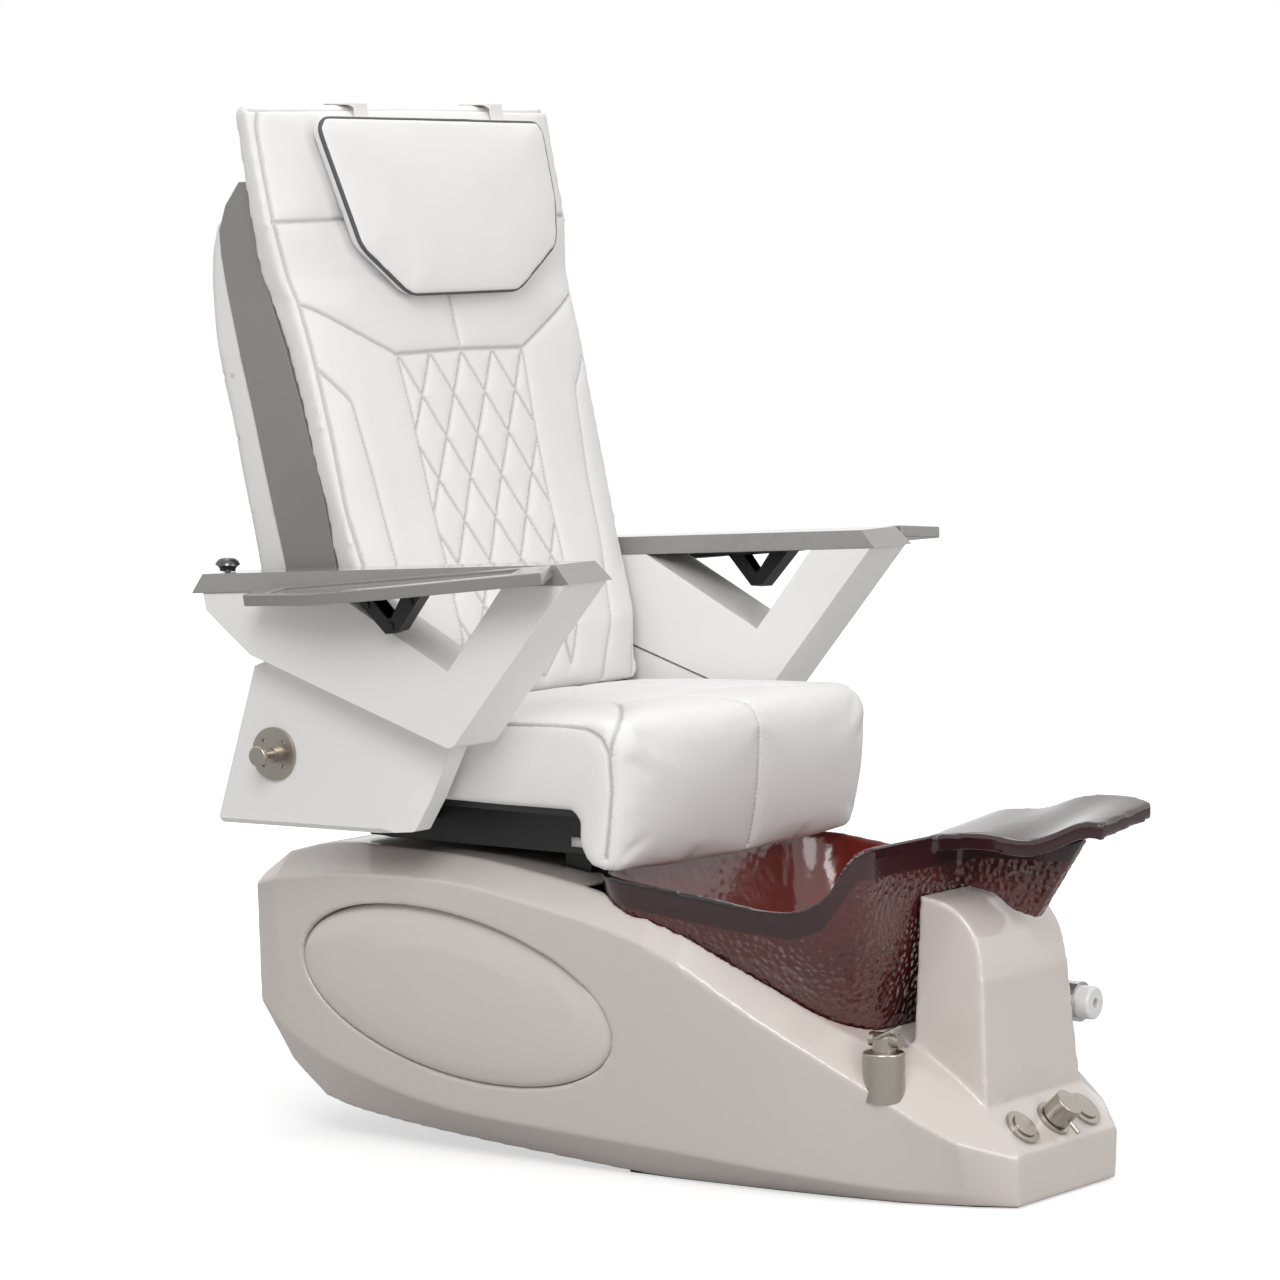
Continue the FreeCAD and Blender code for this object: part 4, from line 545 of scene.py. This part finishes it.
# One stitch, copied along every seam.
stitchWork = bmesh.new()
bmesh.ops.create_uvsphere(stitchWork, u_segments=6, v_segments=4, radius=1.0)
stitchShape = bpy.data.meshes.new("stitchShape")
stitchWork.to_mesh(stitchShape)
stitchWork.free()


def stitches(work, tree, line, liftMm=0.1):
    pitch = sewing["stitchPitchMm"] * mm
    travelled, target = 0.0, pitch * 0.5
    for a, b in zip(line, line[1:]):
        span = (b - a).length
        while span > 0 and travelled + span >= target:
            point = a.lerp(b, (target - travelled) / span)
            target += pitch
            direction = (b - a).normalized()
            spot, normal = tree.find_nearest(point)[:2]
            side = direction.cross(normal).normalized()
            axes = Matrix((direction, side, normal)).transposed().to_4x4()
            size = Matrix.Diagonal((sewing["stitchLengthMm"] * mm / 2, sewing["stitchRadiusMm"] * mm,
                                    sewing["stitchRadiusMm"] * mm, 1.0))
            matrix = Matrix.Translation(spot + normal * liftMm * mm) @ axes @ size
            stitch = stitchShape.copy()
            stitch.transform(matrix)
            work.from_mesh(stitch)
            bpy.data.meshes.remove(stitch)
        travelled += span


def stitchPiece(name, body, tree, lines):
    work = bmesh.new()
    for line in lines:
        stitches(work, tree, line)
    piece = makePiece(work, name, materials["whiteThread"])
    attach(piece, body)
    return piece


# Back pad: front panel seams as (y, z) pairs, for one side where they come in pairs.
backPad = {
    "voxelMm": 6.5, "pressure": 4.0, "stiffness": 12.0, "capMm": 9.0, "holdMm": 12.0, "edgeInsetMm": 9,
    "edge": [(318, 1324), (325, 1302), (325, 1181), (312, 1117), (305, 1079), (300, 1002), (297, 913),
             (297, 814), (288, 735), (286, 570)],
    "topEdge": [(-318, 1324), (0, 1326), (318, 1324)],
    "upperAcross": [(-317, 1182), (0, 1189), (317, 1182)],
    "shoulder": [(296, 1078), (283, 1075), (235, 1054), (138, 1012)],
    "panelTop": [(-138, 1012), (0, 1014), (138, 1012)],
    "centre": [(0, 1189), (0, 1013)],
    "panelSide": [(138, 1012), (131, 930), (128, 800), (127, 600)],
    "side": [(291, 998), (245, 955), (232, 850), (226, 750), (208, 646), (204, 570)],
    "diamondWidth": 68, "diamondHeight": 108, "diamondTop": 1012, "diamondLow": 580, "diamondStep": 4,
    "diamondCount": 8, "quiltHalf": 127, "quiltFlare": 11, "flareFromZ": 850, "flareOver": 162,
    "lookFromX": 0.5, "nearX": -0.3, "threadAsideMm": 3.5,
}


def onBothSides(points):
    return [points, [(-y, z) for y, z in points]]


def narrowed(line, insetMm):
    # Draws a line towards the middle of the pad, clear of its rounded side.
    return [(y - math.copysign(min(abs(y), insetMm), y), z) for y, z in line]


def frontPoint(tree, y, z):
    # The pad's skin as seen from the front, or else its nearest point.
    hit = tree.ray_cast(Vector((backPad["lookFromX"], y * mm, z * mm)), Vector((-1, 0, 0)))[0]
    return hit if hit else tree.find_nearest(Vector((backPad["nearX"], y * mm, z * mm)))[0]


def diamondLines(facts):
    # Two sets of sloping lines, cut off at the sides and the top of the quilted panel.
    lines = []
    slope = facts["diamondHeight"] / facts["diamondWidth"]
    top, low = facts["diamondTop"], facts["diamondLow"]
    for sign in (-1, 1):
        for count in range(-facts["diamondCount"], facts["diamondCount"] + 1):
            start = count * facts["diamondWidth"]
            points = []
            for step in range(0, int((top - low) / facts["diamondStep"])):
                z = top - facts["diamondStep"] * step
                y = start + sign * (top - z) / slope
                flare = max(0.0, (z - facts["flareFromZ"]) / facts["flareOver"])
                half = facts["quiltHalf"] + facts["quiltFlare"] * flare
                if abs(y) < half:
                    points.append((y, z))
            if len(points) > 3:
                lines.append(points)
    return lines


padTree = BVHTree.FromBMesh(copyOfNode("back_pad"))
edgeLines = onBothSides(narrowed(backPad["edge"], backPad["edgeInsetMm"])) + [backPad["topEdge"]]
panelLines = [line for seam in ("shoulder", "side", "panelSide") for line in onBothSides(backPad[seam])]
panelLines += [backPad["upperAcross"], backPad["panelTop"], backPad["centre"]]
quiltLines = diamondLines(backPad)


def toSkin(tree, lines, step):
    flat = [resample([(0, y, z) for y, z in line], step) for line in lines]
    laid = [[frontPoint(tree, point.y, point.z) for point in line] for line in flat]
    return [layOnSkin(tree, eased(line, sewing["easeTimes"])) for line in laid]


roughSeams = [point for line in toSkin(padTree, edgeLines + panelLines + quiltLines, 4.0) for point in line]
backPad["backed"] = lambda v: v.normal.x < -0.5
backPiece = puff(makePiece(copyOfNode("back_pad"), "backCushion", materials["whiteLeather"]),
                 backPad, roughSeams)
padTree = skinTree(backPiece)
edgeSkin = toSkin(padTree, edgeLines, 2.0)
panelSkin = toSkin(padTree, panelLines, 2.0)
quiltSkin = toSkin(padTree, quiltLines, 2.0)
sew(backPiece, edgeSkin + panelSkin + quiltSkin, depthMm=2.6, unevenMm=0.9, unevenSizeMm=70, valleyMm=3.0)
standIn(backPiece, "back_pad")
padTree = skinTree(backPiece)
backThreads = [offsetLine(padTree, line, backPad["threadAsideMm"]) for line in edgeSkin[:1] + panelSkin]
backThreads += [offsetLine(padTree, line, -backPad["threadAsideMm"]) for line in edgeSkin[1:2]]
backThreads += quiltSkin
backStitches = stitchPiece("backStitching", "backrest", padTree, backThreads)
print("back cushion:", len(backPiece.data.polygons), "faces,",
      len(backStitches.data.polygons), "in its stitching")

# Seat cushion: seams as points in millimetres near the skin.
seatPad = {
    "voxelMm": 7.0, "pressure": 4.0, "stiffness": 12.0, "capMm": 14.0, "holdMm": 14.0,
    "backedAboveZ": 0.44, "rearX": -0.228, "pairAsideMm": 4.0, "threadAsideMm": 3.0,
    "boxEdge": [(-225, 286, 552), (-150, 286, 562), (-32, 286, 570), (27, 286, 572), (68, 286, 568),
                (92, 286, 557), (104, 286, 536), (108, 286, 493), (104, 286, 443), (100, 286, 405)],
    "corner": [(106, 284, 536), (92, 240, 566), (45, 170, 578), (0, 112, 584), (-236, 104, 574)],
    "across": [(0, -112, 584), (8, 0, 586), (0, 112, 584)],
    "middle": [(8, 0, 586), (60, 0, 588), (105, 0, 580), (128, 0, 555), (136, 0, 520), (134, 0, 480),
               (124, 0, 430), (112, 0, 400)],
}


def mirroredLine(points):
    return [(x, -y, z) for x, y, z in points]


def nearSkin(tree, lines, step):
    scaled = [[(x * mm, y * mm, z * mm) for x, y, z in line] for line in lines]
    laid = [layOnSkin(tree, resample(line, step * mm)) for line in scaled]
    return [layOnSkin(tree, eased(line, sewing["easeTimes"])) for line in laid]


seatTree = BVHTree.FromBMesh(copyOfNode("seat_cushion"))
seatEdges = [seatPad["boxEdge"], mirroredLine(seatPad["boxEdge"])]
seatSeams = [seatPad["corner"], mirroredLine(seatPad["corner"]), seatPad["across"], seatPad["middle"]]
seatPad["backed"] = lambda v: (v.normal.z < -0.5 and v.co.z > seatPad["backedAboveZ"]
                               or v.co.x < seatPad["rearX"])
roughSeams = [point for line in nearSkin(seatTree, seatEdges + seatSeams, 4.0) for point in line]
seatPiece = puff(makePiece(copyOfNode("seat_cushion"), "seatCushion", materials["whiteLeather"]),
                 seatPad, roughSeams)
seatTree = skinTree(seatPiece)
seatEdgeSkin = nearSkin(seatTree, seatEdges, 2.0)
seatSkin = nearSkin(seatTree, seatSeams, 2.0)
sew(seatPiece, seatEdgeSkin + seatSkin, depthMm=2.8, unevenMm=1.2, unevenSizeMm=90, valleyMm=3.0)
standIn(seatPiece, "seat_cushion")
seatTree = skinTree(seatPiece)
seatThreads = []
for line in seatEdgeSkin + seatSkin[3:]:
    seatThreads += [offsetLine(seatTree, line, turn * seatPad["pairAsideMm"]) for turn in (1, -1)]
seatThreads += [offsetLine(seatTree, line, seatPad["threadAsideMm"]) for line in seatSkin[:3]]
seatStitches = stitchPiece("seatStitching", "carriage", seatTree, seatThreads)
print("seat cushion:", len(seatPiece.data.polygons), "faces,",
      len(seatStitches.data.polygons), "in its stitching")

# Headrest pillow with its piping.
pillow = {
    "voxelMm": 5.0, "pressure": 4.0, "stiffness": 12.0, "capMm": 9.0, "holdMm": 12.0, "pipingMm": 3.0,
    "outline": [(-228, 1314), (-241, 1302), (-240, 1290), (-200, 1153), (-192, 1143), (-122, 1091),
                (-108, 1086), (118, 1086), (132, 1091), (222, 1142), (230, 1152), (244, 1206),
                (244, 1294), (234, 1308)],
    "topX": -375.0, "topZ": 1310.0, "slope": 0.227, "pipingEaseTimes": 3,
}
ring = [(pillow["topX"] + (pillow["topZ"] - z) * pillow["slope"], y, z) for y, z in pillow["outline"]]
ring = [tuple(value * mm for value in point) for point in ring + ring[:1]]
pillowTree = BVHTree.FromBMesh(copyOfNode("headrest_pillow"))
ringPoints = layOnSkin(pillowTree, resample(ring, 4 * mm))
pillow["backed"] = lambda v: v.normal.x < -0.7
pillowPiece = puff(makePiece(copyOfNode("headrest_pillow"), "headPillow", materials["whiteLeather"]),
                   pillow, ringPoints)
sew(pillowPiece, [ringPoints], depthMm=1.0, unevenMm=0.8, unevenSizeMm=60)
standIn(pillowPiece, "headrest_pillow")
pillowTree = skinTree(pillowPiece)
pipingLine = layOnSkin(pillowTree, resample(ring, 5 * mm))[:-1]
count = len(pipingLine)
for times in range(pillow["pipingEaseTimes"]):
    pipingLine = [(pipingLine[i - 1] + pipingLine[i] * 2 + pipingLine[(i + 1) % count]) / 4
                  for i in range(count)]
pipingCurve = bpy.data.curves.new("pillowPiping", "CURVE")
pipingCurve.dimensions = "3D"
pipingCurve.bevel_depth = pillow["pipingMm"] * mm
pipingCurve.bevel_resolution = 3
spline = pipingCurve.splines.new("POLY")
spline.points.add(len(pipingLine) - 1)
for point, place in zip(spline.points, pipingLine):
    point.co = (*place, 1.0)
spline.use_cyclic_u = True
pipingObject = bpy.data.objects.new("pipingPath", pipingCurve)
bpy.context.scene.collection.objects.link(pipingObject)
graph = bpy.context.evaluated_depsgraph_get()
pipingMesh = bpy.data.meshes.new_from_object(pipingObject.evaluated_get(graph))
bpy.data.objects.remove(pipingObject)
piping = bpy.data.objects.new("pillowPiping", pipingMesh)
bpy.context.scene.collection.objects.link(piping)
pipingMesh.materials.clear()
pipingMesh.materials.append(materials["greyPiping"])
pipingMesh.shade_smooth()
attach(piping, "backrest")
print("head pillow:", len(pillowPiece.data.polygons), "faces")

# Blank plate on the near side of the chassis.
platePlace = {"from": (0.0, 408.0), "to": (25.0, 420.0), "thickMm": 0.8, "edgeMm": 0.25, "lookFromY": -0.6}
chassisTree = BVHTree.FromBMesh(copyOfNode("chassis_box"))
(x0, z0), (x1, z1) = platePlace["from"], platePlace["to"]
middle = Vector(((x0 + x1) / 2 * mm, platePlace["lookFromY"], (z0 + z1) / 2 * mm))
wallHit = chassisTree.ray_cast(middle, Vector((0, 1, 0)))[0]
plateWork = bmesh.new()
bmesh.ops.create_cube(plateWork, size=1.0)
thick = platePlace["thickMm"] * mm
bmesh.ops.scale(plateWork, verts=plateWork.verts[:], vec=((x1 - x0) * mm, thick, (z1 - z0) * mm))
bmesh.ops.translate(plateWork, verts=plateWork.verts[:], vec=(middle.x, wallHit.y - thick / 2, middle.z))
bmesh.ops.bevel(plateWork, geom=plateWork.edges[:], offset=platePlace["edgeMm"] * mm,
                segments=2, affect="EDGES")
plate = makePiece(plateWork, "blankPlate", materials["glossWhiteAbs"])
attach(plate, "carriage")
print("plate at", [round(value, 3) for value in wallHit])

# Straps of the pillow over the top of the back, with softened edges.
strapPiece = breakEdges("headrest_straps", 0.7)
strapPiece.data.materials[0] = materials["whiteLeather"]
strapPiece.name = "pillowStraps"

# Rear cover: a moulding under white coated cloth, seamed across at two heights.
rearCover = {"voxelMm": 5.0, "smoothTimes": 8, "smoothFactor": 0.5, "keepShare": 1.0,
             "seamZ": (0.985, 0.905), "seamHalfMm": 330, "seamStepMm": 3, "threadAsideMm": 4.0,
             "lookFromX": -1.5}
coverPiece = moulded("back_rear_shell", rearCover, "rearCover")
coverTree = skinTree(coverPiece)


def coverLine(z):
    # Seam across the back of the cover, found by looking at it from behind.
    half, startX = rearCover["seamHalfMm"], rearCover["lookFromX"]
    hits = [coverTree.ray_cast(Vector((startX, y * mm, z)), Vector((1, 0, 0)))[0]
            for y in range(-half, half + 1, rearCover["seamStepMm"])]
    return [hit for hit in hits if hit]


coverSeams = [coverLine(z) for z in rearCover["seamZ"]]
sew(coverPiece, coverSeams, depthMm=1.6, unevenMm=0.4, unevenSizeMm=120)
coverTree = skinTree(coverPiece)
coverThreads = [offsetLine(coverTree, line, turn * rearCover["threadAsideMm"])
                for line in coverSeams for turn in (-1, 1)]
stitchPiece("coverStitching", "backrest", coverTree, coverThreads)
standIn(coverPiece, "back_rear_shell")
print("rear cover:", len(coverPiece.data.polygons), "faces")


# Studio: pale floor, white background, three soft lamps and the camera of the photograph.
studio = {"cameraPlace": (3.8542, -5.6729, 1.2982), "cameraTurn": (84.6, 0.0, 34.5), "lensMm": 151.9,
          "floorHalf": 9.0, "floorColour": "#c4c4c4", "fillStrength": 0.52, "nearGlow": 0.60, "farGlow": 1.0,
          "glowFrom": 0.9, "glowTo": 1.9, "floorDropMm": 0.4}


def plainFloor():
    material = bpy.data.materials.new("paleFloor")
    material.use_nodes = True
    tree = material.node_tree
    tree.nodes.clear()
    path = addNode(tree, "ShaderNodeLightPath")
    seen = addNode(tree, "ShaderNodeMath", {"operation": "MAXIMUM"},
                   {0: path.outputs["Is Camera Ray"], 1: path.outputs["Is Transmission Ray"]})
    matte = addNode(tree, "ShaderNodeBsdfDiffuse", None, {"Color": hexToLinear(studio["floorColour"])})
    glow = addNode(tree, "ShaderNodeEmission", None, {"Color": (1, 1, 1, 1)})
    # Pure white away from the object, and room for its shadow near it.
    place = addNode(tree, "ShaderNodeTexCoord")
    reach = addNode(tree, "ShaderNodeVectorMath", {"operation": "LENGTH"}, {0: place.outputs["Object"]})
    white = addNode(tree, "ShaderNodeMapRange", None,
                    {"Value": reach.outputs["Value"],
                     "From Min": studio["glowFrom"], "From Max": studio["glowTo"],
                     "To Min": studio["nearGlow"], "To Max": studio["farGlow"]})
    lit = addNode(tree, "ShaderNodeMath", {"operation": "MULTIPLY"},
                  {0: seen.outputs[0], 1: white.outputs[0]})
    tree.links.new(lit.outputs[0], glow.inputs["Strength"])
    both = addNode(tree, "ShaderNodeAddShader", None, {0: matte.outputs[0], 1: glow.outputs[0]})
    addNode(tree, "ShaderNodeOutputMaterial", None, {"Surface": both.outputs[0]})
    return material


floorWork = bmesh.new()
bmesh.ops.create_grid(floorWork, x_segments=1, y_segments=1, size=studio["floorHalf"])
bmesh.ops.translate(floorWork, verts=floorWork.verts[:], vec=(0, 0, -studio["floorDropMm"] * mm))
floor = makePiece(floorWork, "studioFloor", plainFloor())

world = bpy.data.worlds.new("studioWorld")
bpy.context.scene.world = world
world.use_nodes = True
world.node_tree.nodes.clear()
path = addNode(world.node_tree, "ShaderNodeLightPath")
seen = addNode(world.node_tree, "ShaderNodeMath", {"operation": "MAXIMUM"},
               {0: path.outputs["Is Camera Ray"], 1: path.outputs["Is Glossy Ray"]})
seen = addNode(world.node_tree, "ShaderNodeMath", {"operation": "MAXIMUM"},
               {0: seen.outputs[0], 1: path.outputs["Is Transmission Ray"]})
level = addNode(world.node_tree, "ShaderNodeMapRange", None,
                {"Value": seen.outputs[0], "To Min": studio["fillStrength"], "To Max": 1.0})
backdrop = addNode(world.node_tree, "ShaderNodeBackground", None,
                   {"Color": (1, 1, 1, 1), "Strength": level.outputs[0]})
addNode(world.node_tree, "ShaderNodeOutputWorld", None, {"Surface": backdrop.outputs[0]})

lamps = {
    "keyLamp": {"place": (1.4, -3.2, 3.0), "aim": (0.0, 0.0, 0.6), "size": 2.2, "power": 74},
    "frontLamp": {"place": (3.6, -0.6, 1.8), "aim": (0.1, 0.0, 0.6), "size": 2.0, "power": 33},
    "topLamp": {"place": (-0.6, 0.8, 3.2), "aim": (0.0, 0.0, 0.5), "size": 2.4, "power": 28},
}
for name, facts in lamps.items():
    light = bpy.data.lights.new(name, "AREA")
    light.shape = "DISK"
    light.size = facts["size"]
    light.energy = facts["power"]
    lamp = bpy.data.objects.new(name, light)
    lamp.location = facts["place"]
    aim = Vector(facts["aim"]) - Vector(facts["place"])
    lamp.rotation_euler = aim.to_track_quat("-Z", "Y").to_euler()
    bpy.context.scene.collection.objects.link(lamp)

cameraData = bpy.data.cameras.new("photoCamera")
cameraData.lens = studio["lensMm"]
cameraData.sensor_width = 36.0
cameraData.clip_end = 60.0
cameraObject = bpy.data.objects.new("photoCamera", cameraData)
cameraObject.location = studio["cameraPlace"]
cameraObject.rotation_euler = [math.radians(angle) for angle in studio["cameraTurn"]]
bpy.context.scene.collection.objects.link(cameraObject)
bpy.context.scene.camera = cameraObject
bpy.context.scene.view_settings.view_transform = "Standard"
print("studio ready")
